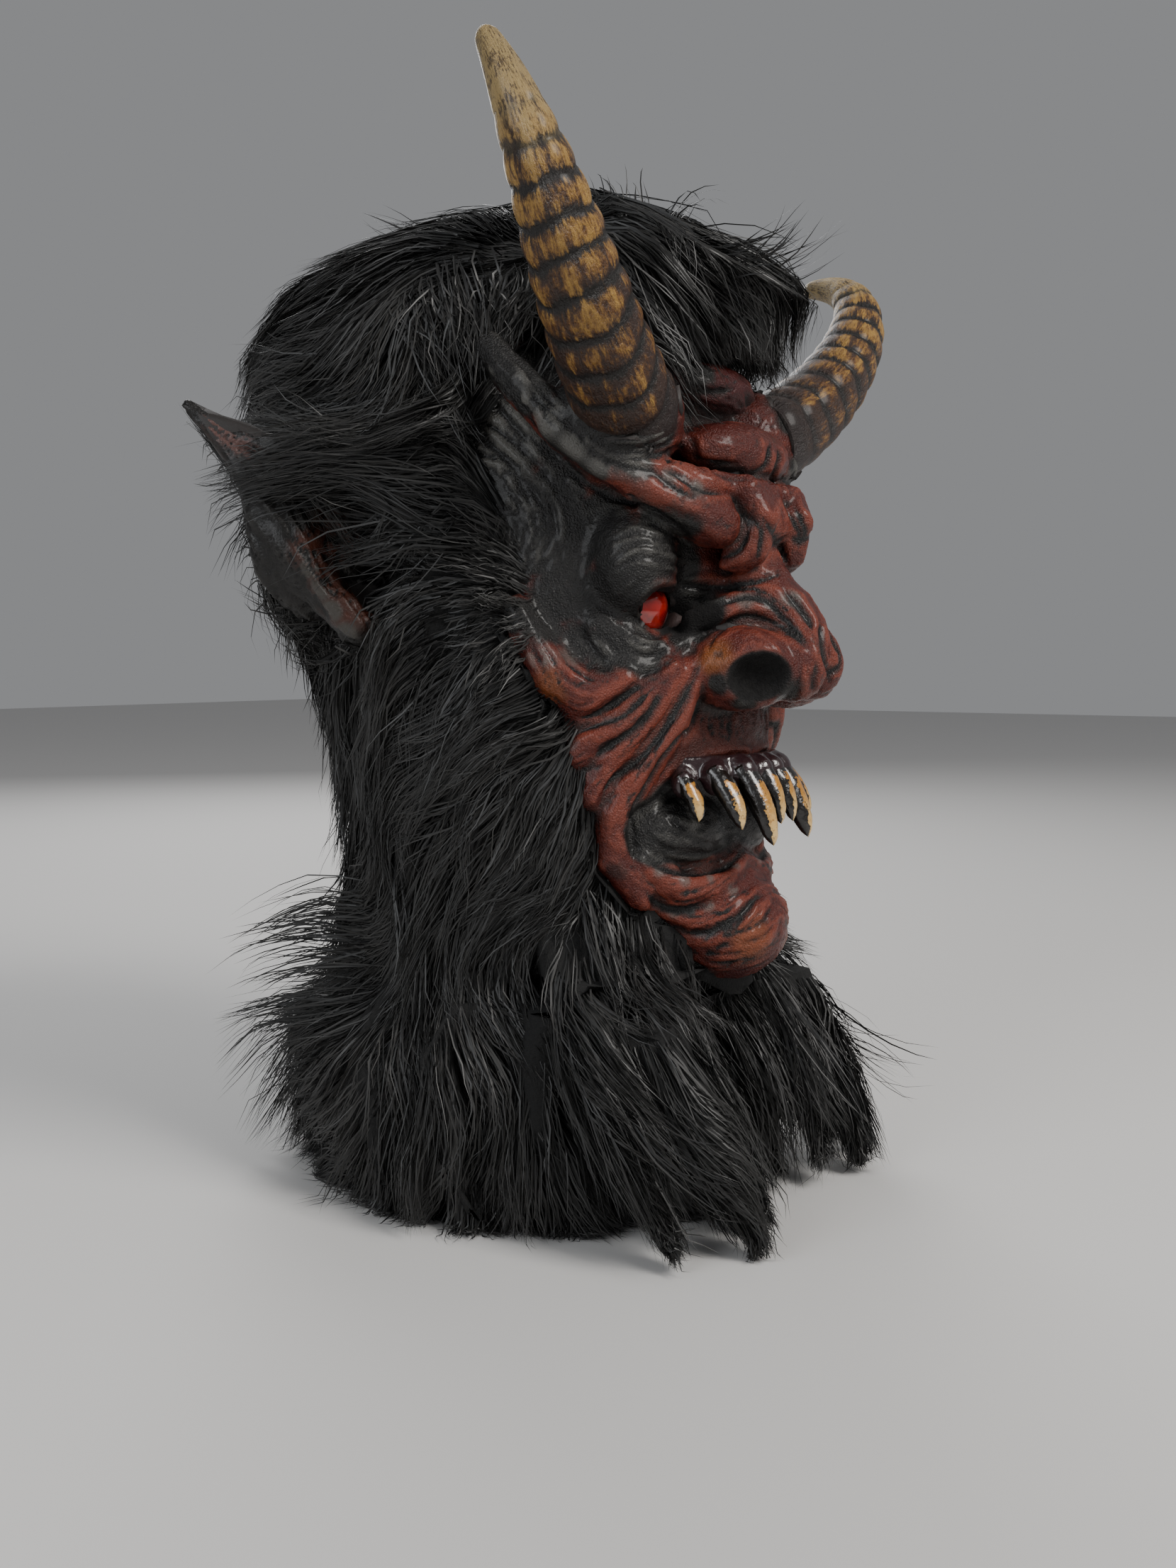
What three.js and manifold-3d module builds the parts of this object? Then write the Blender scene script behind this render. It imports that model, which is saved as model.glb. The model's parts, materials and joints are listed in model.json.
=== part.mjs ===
// An over-the-head devil mask: a hollow latex head with long black fur, two ringed horns, red eyes and fangs.
// Units are millimetres, +Z is up, the face looks towards -Y and the mask's right side is -X.
import * as THREE from 'three';
import { mergeVertices } from 'three/addons/utils/BufferGeometryUtils.js';
import Module from 'manifold-3d';

// Skull, face and neck: centres and radii of the plain forms under the carving
const SKULL = { centre: [0, 26, 322], radii: [88, 112, 104] };
const FACE = { centre: [0, -12, 232], radii: [84, 88, 118] };
const CHEEK_FLESH = { centre: [-42, -40, 200], radii: [35, 32, 52] };
const JAW = { centre: [0, -46, 140], radii: [50, 52, 46] };
const NECK = { y: 18, halfWidth: 78, halfDepth: 80, hemFlare: 12, flareHeight: 70, top: 230 };
const SKIN_WALL = 5;
const CARVED_WALL = 4;
const JOIN_GAP = 0.4;

const EYE = { centre: [-42, -66, 269], radius: 14 };
const NOSTRIL = { centre: [-34, -124, 239], radii: [12, 15, 11] };

// Horns: a cubic curve from the root to the tip for each side, the thickness and the rings
const HORN = {
  curve: {
    right: [[-58, -73, 349], [-131, -92, 379], [-166, -104, 421], [-155, -70, 469]],
    left: [[58, -75, 351], [126, -92, 379], [153, -111, 447], [164, -49, 449]]
  },
  rootRadius: 21.5, tipRadius: 4, belly: 9, rings: 12, smoothTip: 0.22, ringDepth: 1.3, sides: 8, point: 1.5
};

// Fangs from the middle outwards: root and tip, and the thickness of the root
const FANGS = [
  { root: [5.5, -108, 201], tip: [6, -118, 176], radius: 4.2 },
  { root: [17, -105, 200], tip: [18, -118, 168], radius: 5.6 },
  { root: [30, -98, 199], tip: [34, -111, 176], radius: 5.2 },
  { root: [41, -88, 197], tip: [43, -95, 179], radius: 4 }
];
const FANG_PROFILE = [[0, 0.85], [0.25, 1], [0.5, 0.9], [0.75, 0.62], [1, 0.15]];
const FANG_BOW = 5;
const GUM = { halfWidth: 46, depth: 40, frontY: -108, backY: -76, z: 201, thickness: 6, wall: 11 };

// Fur outline: half width, front and back reach of the pile at a height
const FUR_RINGS = [
  { z: 0, half: 106, front: -102, back: 104 },
  { z: 25, half: 116, front: -100, back: 130 },
  { z: 70, half: 114, front: -92, back: 134 },
  { z: 113, half: 90, front: -90, back: 98 },
  { z: 160, half: 94, front: -94, back: 108 },
  { z: 205, half: 100, front: -96, back: 116 },
  { z: 264, half: 110, front: -98, back: 136 },
  { z: 300, half: 116, front: -100, back: 166 },
  { z: 349, half: 116, front: -102, back: 178 },
  { z: 390, half: 108, front: -104, back: 168 },
  { z: 420, half: 92, front: -106, back: 146 },
  { z: 438, half: 62, front: -92, back: 108 },
  { z: 446, half: 30, front: -50, back: 66 }
];
// Edge of the bare face seen from the side, as depth and height, from the crown down to the chin
const HAIRLINE = [[-60, 410], [-10, 384], [-4, 374], [-4, 347], [-18, 322], [-28, 297], [-38, 270],
  [-53, 240], [-58, 212], [-61, 190], [-64, 172], [-71, 150], [-83, 130], [-97, 108]];
const FRINGE = { z: 376, slope: 2, from: 34, to: 66 };

// Pile: body of the fur inside its outline, least thickness over the skin, thickness at the hairline
const PILE = { bodyInset: 8, least: 13, edge: 9, rise: 0.9, spread: 1.35, blend: 8 };
// Locks: rows round the head from a height down, then their steps, start depth, lift at the tip and blend
const LOCK_ROWS = [
  { z: 452, count: 8, from: -180, to: 157, drop: 34, sweep: 12, radius: 17 },
  { z: 436, count: 11, from: -180, to: 157, drop: 60, sweep: 14, radius: 16 },
  { z: 396, count: 9, from: -112, to: 112, drop: 64, sweep: -10, radius: 16 },
  { z: 350, count: 9, from: -110, to: 110, drop: 66, sweep: -12, radius: 16 },
  { z: 300, count: 8, from: -104, to: 104, drop: 64, sweep: -12, radius: 15 },
  { z: 250, count: 10, from: -128, to: 128, drop: 62, sweep: -12, radius: 14 },
  { z: 205, count: 10, from: -130, to: 130, drop: 60, sweep: -12, radius: 14 },
  { z: 160, count: 11, from: -134, to: 134, drop: 56, sweep: 0, radius: 14 }
];
const COLLAR_ROWS = [
  { z: 104, count: 13, from: -150, to: 150, drop: 62, sweep: 0, radius: 15 },
  { z: 62, count: 15, from: -160, to: 160, drop: 58, sweep: 4, radius: 14 }
];
const LOCK = { steps: 4, depth: -10, lift: 12, blend: 4, taper: 0.7 };
// Seam between the fur of the head and the fur of the neck
const SEAM = { z: 106, slope: 0.05 };

// Ground cut, sampling boxes and steps of the surfaces, and the triangles that each keeps
const BELOW = 12;
const SAMPLING = {
  skin: { low: [-172, -164, -24], high: [172, 150, 440], step: 4, triangles: 3280 },
  cavity: { low: [-104, -124, -36], high: [104, 150, 440], step: 8, triangles: 320 },
  hood: { low: [-172, -164, 84], high: [172, 216, 480], step: 6, triangles: 1420 },
  collar: { low: [-172, -164, -24], high: [172, 216, 130], step: 6, triangles: 800 },
  gum: { low: [-60, -130, 180], high: [60, -60, 215], step: 2.5, triangles: 100 }
};
// Share of the detail kept in the face, at the ears and on the skin under the fur
const DETAIL = { face: 1, ear: 0.2, earX: 96, hidden: 0.003 };

// Smooth union of two distances: k is the width of the fillet
function join(a, b, k) {
  const h = Math.max(k - Math.abs(a - b), 0);
  return Math.min(a, b) - (h * h) / (4 * k);
}

function carve(a, b, k) {
  return -join(-a, b, k);
}

// An egg of flesh with its own turn in degrees
function ball(centre, radii, turn = [0, 0, 0]) {
  const angles = new THREE.Euler(...turn.map(THREE.MathUtils.degToRad));
  const m = new THREE.Matrix4().makeRotationFromEuler(angles).elements;
  const distance = (x, y, z) => {
    const dx = x - centre[0];
    const dy = y - centre[1];
    const dz = z - centre[2];
    const u = (m[0] * dx + m[1] * dy + m[2] * dz) / radii[0];
    const v = (m[4] * dx + m[5] * dy + m[6] * dz) / radii[1];
    const w = (m[8] * dx + m[9] * dy + m[10] * dz) / radii[2];
    const near = Math.hypot(u, v, w);
    const slope = Math.hypot(u / radii[0], v / radii[1], w / radii[2]);
    return slope < 1e-9 ? -Math.min(...radii) : (near * (near - 1)) / slope;
  };
  return { distance, centre, reach: Math.max(...radii) };
}

// A rope of flesh through the points [x, y, z, radius]
function roll(points) {
  const box = new THREE.Box3().setFromPoints(points.map(p => new THREE.Vector3(p[0], p[1], p[2])));
  const centre = box.getCenter(new THREE.Vector3()).toArray();
  const reach = Math.max(...points.map(p => Math.hypot(...centre.map((c, i) => p[i] - c)) + p[3]));
  const distance = (x, y, z) => {
    let best = Infinity;
    for (let i = 1; i < points.length; i++) {
      const a = points[i - 1];
      const b = points[i];
      const e = [b[0] - a[0], b[1] - a[1], b[2] - a[2]];
      const p = [x - a[0], y - a[1], z - a[2]];
      const along = (p[0] * e[0] + p[1] * e[1] + p[2] * e[2]) / (e[0] * e[0] + e[1] * e[1] + e[2] * e[2]);
      const t = Math.min(Math.max(along, 0), 1);
      const gap = Math.hypot(p[0] - t * e[0], p[1] - t * e[1], p[2] - t * e[2]) - a[3] - t * (b[3] - a[3]);
      best = Math.min(best, gap);
    }
    return best;
  };
  return { distance, centre, reach };
}

const add = (form, blend) => ({ ...form, blend, cut: false });
const cut = (form, blend) => ({ ...form, blend, cut: true });

// Every form is given on the right side and repeated on the left
const SCULPTURE = [
  // Forehead: two wide bulges between the horns, and the swollen roots of the horns
  add(ball([0, -78, 367], [31, 16, 11]), 6),
  add(ball([0, -91, 337], [38, 20, 14]), 6),
  add(ball([-59, -68, 349], [29, 26, 27]), 8),
  add(roll([[-72, -66, 335, 4], [-58, -82, 326, 5], [-38, -98, 322, 5], [-14, -107, 320, 5]]), 4),
  // Brow: a long roll from the temple down to the bulge beside the nose, and the frown folds
  add(roll([[-86, -20, 377, 7], [-87, -38, 359, 8], [-82, -56, 341, 9], [-69, -74, 326, 9],
    [-52, -89, 315, 10], [-34, -98, 305, 12]]), 6),
  add(roll([[-22, -109, 319, 6], [-17, -112, 308, 9], [-19, -109, 295, 8], [-26, -100, 286, 6]]), 4),
  add(roll([[-4, -105, 320, 6], [-3, -108, 306, 8], [0, -102, 290, 6]]), 4),
  // Eye socket, the heavy hooded lid and the bags under the eye
  cut(ball([-45, -98, 272], [24, 22, 20]), 12),
  add(ball([-50, -69, 288], [22, 19, 24], [0, 0, 25]), 6),
  add(roll([[-65, -60, 262, 5], [-56, -75, 253, 5], [-43, -83, 250, 5], [-34, -87, 255, 4]]), 5),
  add(roll([[-64, -62, 250, 5], [-54, -77, 243, 5], [-42, -85, 242, 4]]), 4),
  cut(ball([-41, -88, 268], [16, 18, 9], [0, 10, 0]), 3),
  // Cheekbone
  add(roll([[-85, -32, 268, 6], [-83, -40, 253, 8], [-80, -49, 240, 9], [-74, -59, 233, 9],
    [-63, -72, 238, 6]]), 7),
  // Nose: root, bridge, the first fold over the wing, double tip, thick wings and the nostrils
  add(ball([0, -102, 268], [19, 16, 25]), 8),
  add(roll([[0, -100, 288, 9], [0, -108, 278, 11], [0, -117, 267, 13], [0, -123, 256, 14]]), 8),
  add(roll([[-31, -88, 264, 5], [-23, -100, 268, 6], [-9, -113, 270, 6]]), 6),
  add(ball([-8, -125, 245], [12, 15, 16]), 4),
  add(ball([-23, -107, 243], [18, 24, 18], [0, 0, 20]), 4),
  cut(ball(NOSTRIL.centre, NOSTRIL.radii, [0, 0, 30]), 3),
  // Folds from the nose and the cheekbone down round the mouth
  add(roll([[-39, -92, 242, 6], [-47, -86, 220, 7], [-57, -75, 199, 7], [-63, -67, 181, 8],
    [-61, -66, 163, 8], [-50, -73, 146, 7]]), 4),
  add(roll([[-48, -87, 243, 5], [-57, -80, 226, 6], [-66, -68, 207, 6], [-71, -61, 190, 6]]), 4),
  add(roll([[-56, -81, 236, 4], [-66, -71, 220, 6], [-75, -57, 208, 6]]), 4),
  add(ball([0, -87, 213], [30, 14, 18]), 8),
  // Open mouth with the dark inner lip bulging behind the fangs
  cut(roll([[0, -114, 180, 21], [-22, -106, 180, 21], [-42, -94, 178, 18], [-52, -82, 174, 12]]), 4),
  add(ball([-24, -65, 172], [34, 31, 20]), 3),
  // Lower lip, the fold under it and the ball of the chin
  add(roll([[-52, -75, 161, 6], [-38, -86, 148, 7], [-18, -95, 147, 7], [0, -94, 157, 6]]), 3),
  add(roll([[-44, -72, 145, 6], [-31, -86, 136, 6], [-15, -95, 141, 6], [0, -98, 148, 5]]), 3),
  add(ball([0, -89, 127], [31, 28, 25]), 5)
];

const EAR = [
  add(roll([[-92, 22, 252, 7], [-112, 34, 262, 8], [-126, 52, 292, 9], [-134, 72, 325, 7],
    [-148, 92, 354, 3]]), 6),
  add(roll([[-88, 24, 318, 8], [-108, 38, 330, 8], [-128, 62, 338, 7], [-146, 90, 353, 3]]), 6),
  add(ball([-112, 54, 302], [12, 30, 38], [0, 0, 60]), 8),
  cut(ball([-122, 30, 302], [15, 12, 26], [0, 0, 60]), 5)
];

// Hollow in the fur in front of the ear, and the long locks of the beard below the jaw
const EAR_HOLLOW = cut(ball([-130, 36, 292], [30, 34, 50]), 10);
const BEARD = [
  add(roll([[-18, -48, 112, 15], [-20, -78, 82, 16], [-19, -94, 50, 13], [-16, -106, 20, 7]]), 5),
  add(roll([[-44, -60, 124, 14], [-44, -90, 88, 16], [-40, -108, 52, 14], [-36, -122, 22, 7]]), 5),
  add(roll([[-62, -64, 126, 15], [-68, -94, 84, 18], [-66, -114, 46, 16], [-60, -130, 14, 8]]), 5),
  add(roll([[-74, -48, 126, 14], [-88, -72, 84, 17], [-92, -92, 46, 14], [-90, -108, 14, 7]]), 5)
];

const HEAD = {
  skull: ball(SKULL.centre, SKULL.radii),
  face: ball(FACE.centre, FACE.radii),
  cheek: ball(CHEEK_FLESH.centre, CHEEK_FLESH.radii),
  jaw: ball(JAW.centre, JAW.radii)
};
// Beyond this distance from the plain head the carving isn't looked at
const FAR_OFF = 75;

function neckDistance(x, y, z) {
  const flare = NECK.hemFlare * Math.max(1 - Math.max(z, 0) / NECK.flareHeight, 0) ** 2;
  const round = Math.hypot(x / (NECK.halfWidth + flare), (y - NECK.y) / (NECK.halfDepth + flare)) - 1;
  return carve(round * (NECK.halfWidth + flare), NECK.top - z, 30);
}

function plainHead(x, y, z) {
  const skullAndFace = join(HEAD.skull.distance(x, y, z), HEAD.face.distance(x, y, z), 30);
  const cheeks = join(skullAndFace, HEAD.cheek.distance(-Math.abs(x), y, z), 22);
  const jaw = join(cheeks, HEAD.jaw.distance(x, y, z), 24);
  return join(jaw, neckDistance(x, y, z), 34);
}

// Works the forms into a distance one after the other, the same on both sides
function sculpt(forms, start, x, y, z) {
  const side = -Math.sqrt(x * x + 1);
  let d = start;
  for (const form of forms) {
    const clear = Math.hypot(side - form.centre[0], y - form.centre[1], z - form.centre[2]) - form.reach;
    if (clear > (form.cut ? -d : d) + form.blend) continue;
    const f = form.distance(side, y, z);
    d = form.cut ? carve(d, f, form.blend) : join(d, f, form.blend);
  }
  return d;
}

function carvedHead(x, y, z) {
  const plain = plainHead(x, y, z);
  return plain > FAR_OFF ? plain : sculpt(SCULPTURE, plain, x, y, z);
}

function skinField(x, y, z) {
  return Math.max(sculpt(EAR, carvedHead(x, y, z), x, y, z), -BELOW - z);
}

// Hollow of the mask: a wall behind the plain head, and a thinner one behind the carving
function cavityField(x, y, z) {
  const walls = carve(plainHead(x, y, z) + SKIN_WALL + 1, -(carvedHead(x, y, z) + CARVED_WALL), 4);
  return Math.max(walls, -2 * BELOW - z);
}

// Value of a table of rows at a height, eased between the rows
function alongRows(rows, z, key) {
  if (z <= rows[0].z) return rows[0][key];
  for (let i = 1; i < rows.length; i++) {
    if (z > rows[i].z) continue;
    const t = (z - rows[i - 1].z) / (rows[i].z - rows[i - 1].z);
    const eased = t * t * (3 - 2 * t) * 0.5 + t * 0.5;
    return rows[i - 1][key] + (rows[i][key] - rows[i - 1][key]) * eased;
  }
  return rows[rows.length - 1][key];
}

const HAIRLINE_ROWS = [...HAIRLINE].reverse().map(([y, z]) => ({ y, z }));

// Depth of the hairline at a height, running steeply forward above the crown and below the chin
function hairlineAt(z) {
  const low = HAIRLINE_ROWS[0];
  const top = HAIRLINE_ROWS[HAIRLINE_ROWS.length - 1];
  if (z < low.z) return low.y - 3 * (low.z - z);
  if (z > top.z) return top.y - 6 * (z - top.z);
  return alongRows(HAIRLINE_ROWS, z, 'y');
}

function furReach(z) {
  return ['half', 'front', 'back'].map(key => alongRows(FUR_RINGS, z, key));
}

// Point on the outline of the fur at an angle round from the back of the head, out by a distance
function onFur(angle, z, out) {
  const [half, front, back] = furReach(z);
  const a = THREE.MathUtils.degToRad(angle);
  const depth = (back - front) / 2 + out;
  return [(half + out) * Math.sin(a), (back + front) / 2 + depth * Math.cos(a), z];
}

function furOutline(x, y, z) {
  const [half, front, back] = furReach(z);
  const reach = (back - front) / 2;
  const round = (Math.hypot(x / half, (y - (back + front) / 2) / reach) - 1) * Math.min(half, reach);
  return Math.max(round, z - FUR_RINGS[FUR_RINGS.length - 1].z);
}

// Tapered locks: each starts inside the pile, follows its outline down and lifts off at the tip
function locksOf(rows) {
  const locks = [];
  rows.forEach((row, r) => {
    const pitch = (row.to - row.from) / (row.count - 1);
    for (let n = 0; n < row.count; n++) {
      const angle = row.from + (n + (r % 2) / 2) * pitch;
      const lean = Math.sign(Math.sin(THREE.MathUtils.degToRad(angle))) * row.sweep;
      const points = [];
      for (let s = 0; s <= LOCK.steps; s++) {
        const t = s / LOCK.steps;
        const place = onFur(angle + lean * t, row.z - row.drop * t, LOCK.depth + LOCK.lift * t * t);
        points.push([...place, row.radius * (1 - LOCK.taper * t * t)]);
      }
      locks.push(roll(points));
    }
  });
  return locks;
}

// Pile over the head with its locks and further forms
function furField(rows, extra) {
  const locks = locksOf(rows);
  return (x, y, z) => {
    let d = join(furOutline(x, y, z) + PILE.bodyInset, plainHead(x, y, z) - PILE.least, PILE.blend);
    for (const lock of locks) {
      const clear = Math.hypot(x - lock.centre[0], y - lock.centre[1], z - lock.centre[2]) - lock.reach;
      if (clear < d + LOCK.blend) d = join(d, lock.distance(x, y, z), LOCK.blend);
    }
    return sculpt(extra, d, x, y, z);
  };
}

// Room for the pile: how far a place is behind the hairline, or above the fringe between the horns
function pileRoom(x, y, z) {
  const side = PILE.rise * (y - hairlineAt(z));
  const middle = FRINGE.slope * (z - FRINGE.z);
  const t = THREE.MathUtils.clamp((Math.abs(x) - FRINGE.from) / (FRINGE.to - FRINGE.from), 0, 1);
  return side + (1 - t) * Math.max(middle - side, 0);
}

const hoodPile = furField(LOCK_ROWS, [EAR_HOLLOW, ...BEARD]);
const collarPile = furField(COLLAR_ROWS, BEARD);
const seamHeight = y => SEAM.z + SEAM.slope * y;

function hoodField(x, y, z) {
  const room = pileRoom(x, y, z);
  const pile = (plainHead(x, y, z) - room - PILE.edge) / PILE.spread;
  const trimmed = carve(carve(hoodPile(x, y, z), -pile, 8), room, 5);
  return Math.max(trimmed, seamHeight(y) + JOIN_GAP / 2 - z);
}

function collarField(x, y, z) {
  return Math.max(collarPile(x, y, z), z - seamHeight(y) + JOIN_GAP / 2, -BELOW - z);
}

// Curved bar of the gum along the arch of the fangs
function gumField(x, y, z) {
  const arc = (Math.hypot(x / GUM.halfWidth, (y - GUM.frontY - GUM.depth) / GUM.depth) - 1) * GUM.depth;
  const wall = Math.abs(arc + GUM.wall / 2) - GUM.wall / 2;
  return Math.max(wall, Math.abs(z - GUM.z) - GUM.thickness, y - GUM.backY);
}

// A grid cell is split into six tetrahedra round its long diagonal; corners count x as 1, y as 2 and z as 4
const TETRAHEDRA = [[0, 1, 3, 7], [0, 3, 2, 7], [0, 2, 6, 7], [0, 6, 4, 7], [0, 4, 5, 7], [0, 5, 1, 7]];
const ONE_CORNER = [[0, 1, 2, 3], [1, 0, 3, 2], [2, 0, 1, 3], [3, 0, 2, 1]];
const TWO_CORNERS = [[0, 1, 2, 3], [0, 2, 3, 1], [0, 3, 1, 2], [1, 2, 0, 3], [1, 3, 2, 0], [2, 3, 0, 1]];

// Closed surface where a distance field is zero
function surfaceMesh(field, { low, high, step }) {
  const [nx, ny, nz] = low.map((v, i) => Math.ceil((high[i] - v) / step) + 1);
  const shift = [0, 1, 2, 3, 4, 5, 6, 7].map(c => ((c & 1) * ny + ((c >> 1) & 1)) * nz + (c >> 2));
  const values = new Float32Array(nx * ny * nz);
  const cellOf = n => [Math.floor(n / (ny * nz)), Math.floor(n / nz) % ny, n % nz];
  const placeOf = n => cellOf(n).map((v, i) => low[i] + v * step);
  for (let n = 0; n < values.length; n++) values[n] = field(...placeOf(n));
  const positions = [];
  const triangles = [];
  const numbered = new Map();
  const crossing = (cell, a, b) => {
    const [p, q] = [cell + shift[Math.min(a, b)], cell + shift[Math.max(a, b)]];
    const key = p * 8 + (a ^ b);
    if (!numbered.has(key)) {
      const [from, to] = [placeOf(p), placeOf(q)];
      const t = THREE.MathUtils.clamp(values[p] / (values[p] - values[q]), 0.02, 0.98);
      numbered.set(key, positions.push(from.map((v, i) => v + t * (to[i] - v))) - 1);
    }
    return numbered.get(key);
  };
  const slice = (cell, tetrahedron) => {
    const inside = tetrahedron.map(c => values[cell + shift[c]] < 0);
    const count = inside.filter(Boolean).length;
    if (count === 1 || count === 3) {
      const [a, b, c, d] = ONE_CORNER[inside.indexOf(count === 1)].map(n => tetrahedron[n]);
      const face = [crossing(cell, a, b), crossing(cell, a, c), crossing(cell, a, d)];
      triangles.push(count === 1 ? face : face.reverse());
    }
    if (count === 2) {
      const order = TWO_CORNERS.find(o => inside[o[0]] && inside[o[1]]);
      const [a, b, c, d] = order.map(n => tetrahedron[n]);
      const quad = [crossing(cell, a, c), crossing(cell, a, d), crossing(cell, b, d), crossing(cell, b, c)];
      triangles.push([quad[0], quad[1], quad[2]], [quad[0], quad[2], quad[3]]);
    }
  };
  for (let i = 0; i < nx - 1; i++) {
    for (let j = 0; j < ny - 1; j++) {
      for (let k = 0; k < nz - 1; k++) {
        const cell = (i * ny + j) * nz + k;
        const first = values[cell] < 0;
        if (shift.every(s => values[cell + s] < 0 === first)) continue;
        for (const tetrahedron of TETRAHEDRA) slice(cell, tetrahedron);
      }
    }
  }
  return { positions, triangles };
}

const minus = (a, b) => [a[0] - b[0], a[1] - b[1], a[2] - b[2]];
const dot = (a, b) => a[0] * b[0] + a[1] * b[1] + a[2] * b[2];
const cross = (a, b) => [a[1] * b[2] - a[2] * b[1], a[2] * b[0] - a[0] * b[2], a[0] * b[1] - a[1] * b[0]];

// A list kept with its cheapest item first
class Heap {
  items = [];

  push(item) {
    const { items } = this;
    let i = items.push(item) - 1;
    while (i > 0) {
      const up = (i - 1) >> 1;
      if (items[up].cost <= items[i].cost) break;
      [items[up], items[i]] = [items[i], items[up]];
      i = up;
    }
  }

  pop() {
    const { items } = this;
    const top = items[0];
    const last = items.pop();
    if (!items.length) return top;
    items[0] = last;
    let i = 0;
    for (;;) {
      let best = i;
      for (const child of [2 * i + 1, 2 * i + 2]) {
        if (child < items.length && items[child].cost < items[best].cost) best = child;
      }
      if (best === i) return top;
      [items[best], items[i]] = [items[i], items[best]];
      i = best;
    }
  }
}

// Sum of squared distances of a place to the planes gathered in a quadric
function planeError(q, [x, y, z]) {
  return q[0] * x * x + q[4] * y * y + q[7] * z * z + q[9]
    + 2 * (q[1] * x * y + q[2] * x * z + q[3] * x + q[5] * y * z + q[6] * y + q[8] * z);
}

// Place nearest to all planes of a quadric, or null where they don't meet in a point
function planeMeeting(q) {
  const columns = [[q[0], q[1], q[2]], [q[1], q[4], q[5]], [q[2], q[5], q[7]]];
  const right = [-q[3], -q[6], -q[8]];
  const volume = dot(columns[0], cross(columns[1], columns[2]));
  if (Math.abs(volume) < 1e-6) return null;
  return columns.map((_, i) => {
    const [a, b, c] = columns.map((column, n) => (n === i ? right : column));
    return dot(a, cross(b, c)) / volume;
  });
}

function quadricsOf(positions, faces) {
  const quadrics = positions.map(() => new Float64Array(10));
  for (const f of faces) {
    const p = positions[f[0]];
    const n = cross(minus(positions[f[1]], p), minus(positions[f[2]], p));
    const area = Math.hypot(...n) || 1e-12;
    const [a, b, c] = n.map(v => v / area);
    const d = -dot([a, b, c], p);
    const plane = [a * a, a * b, a * c, a * d, b * b, b * c, b * d, c * c, c * d, d * d];
    for (const v of f) plane.forEach((value, i) => { quadrics[v][i] += value * area; });
  }
  return quadrics;
}

// Thins a closed mesh to a number of triangles by closing its cheapest edges.
// Detail is kept where weight(x, y, z) is large.
function thin({ positions, triangles }, target, weight = () => 1) {
  const faces = triangles.map(t => [...t]);
  const alive = new Uint8Array(faces.length).fill(1);
  const around = positions.map(() => new Set());
  faces.forEach((f, n) => f.forEach(v => around[v].add(n)));
  const quadrics = quadricsOf(positions, faces);
  const stamp = new Int32Array(positions.length);
  const heap = new Heap();
  const consider = (a, b) => {
    const q = quadrics[a].map((v, i) => v + quadrics[b][i]);
    const middle = positions[a].map((v, i) => (v + positions[b][i]) / 2);
    const length = Math.hypot(...minus(positions[a], positions[b]));
    const choices = [middle, positions[a], positions[b]];
    const best = planeMeeting(q);
    if (best && Math.hypot(...minus(best, middle)) < length) choices.push(best);
    const errors = choices.map(choice => planeError(q, choice));
    const least = Math.min(...errors);
    const cost = (Math.max(least, 0) + 1e-3 * length ** 4) * weight(...middle);
    heap.push({ cost, a, b, chosen: choices[errors.indexOf(least)], mark: stamp[a] + stamp[b] });
  };
  const neighbours = v => {
    const found = new Set();
    for (const f of around[v]) faces[f].forEach(w => w !== v && found.add(w));
    return found;
  };
  const normalOf = ([a, b, c]) => cross(minus(b, a), minus(c, a));
  const folds = (v, other, chosen) => [...around[v]].some(f => {
    if (faces[f].includes(other)) return false;
    const old = normalOf(faces[f].map(w => positions[w]));
    const fresh = normalOf(faces[f].map(w => (w === v ? chosen : positions[w])));
    return dot(old, fresh) < 0.25 * Math.hypot(...old) * Math.hypot(...fresh);
  });
  positions.forEach((_, a) => neighbours(a).forEach(b => a < b && consider(a, b)));
  let left = faces.length;
  while (left > target && heap.items.length) {
    const { a, b, chosen, mark } = heap.pop();
    if (stamp[a] < 0 || stamp[b] < 0 || stamp[a] + stamp[b] !== mark) continue;
    const ringB = neighbours(b);
    if ([...neighbours(a)].filter(v => ringB.has(v)).length !== 2) continue;
    if (folds(a, b, chosen) || folds(b, a, chosen)) continue;
    for (const f of [...around[a]].filter(n => around[b].has(n))) {
      alive[f] = 0;
      faces[f].forEach(v => around[v].delete(f));
      left--;
    }
    for (const f of around[b]) {
      faces[f] = faces[f].map(v => (v === b ? a : v));
      around[a].add(f);
    }
    positions[a] = chosen;
    quadrics[a] = quadrics[a].map((v, i) => v + quadrics[b][i]);
    stamp[b] = -1;
    stamp[a]++;
    for (const v of neighbours(a)) consider(a, v);
  }
  return compact(positions, faces.filter((_, n) => alive[n]));
}

// Drops the vertices that no face uses
function compact(positions, faces) {
  const number = new Map();
  const kept = [];
  const triangles = faces.map(f => f.map(v => {
    if (!number.has(v)) number.set(v, kept.push(positions[v]) - 1);
    return number.get(v);
  }));
  return { positions: kept, triangles };
}

// The same closed mesh moved outwards along its normals
function swollen({ positions, triangles }, amount) {
  const normals = positions.map(() => new THREE.Vector3());
  for (const t of triangles) {
    const [a, b, c] = t.map(v => new THREE.Vector3(...positions[v]));
    const face = b.sub(a).cross(c.sub(a));
    t.forEach(v => normals[v].add(face));
  }
  const moved = positions.map((p, i) => {
    const out = normals[i].normalize().multiplyScalar(amount);
    return [p[0] + out.x, p[1] + out.y, p[2] + out.z];
  });
  return { positions: moved, triangles };
}

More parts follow.
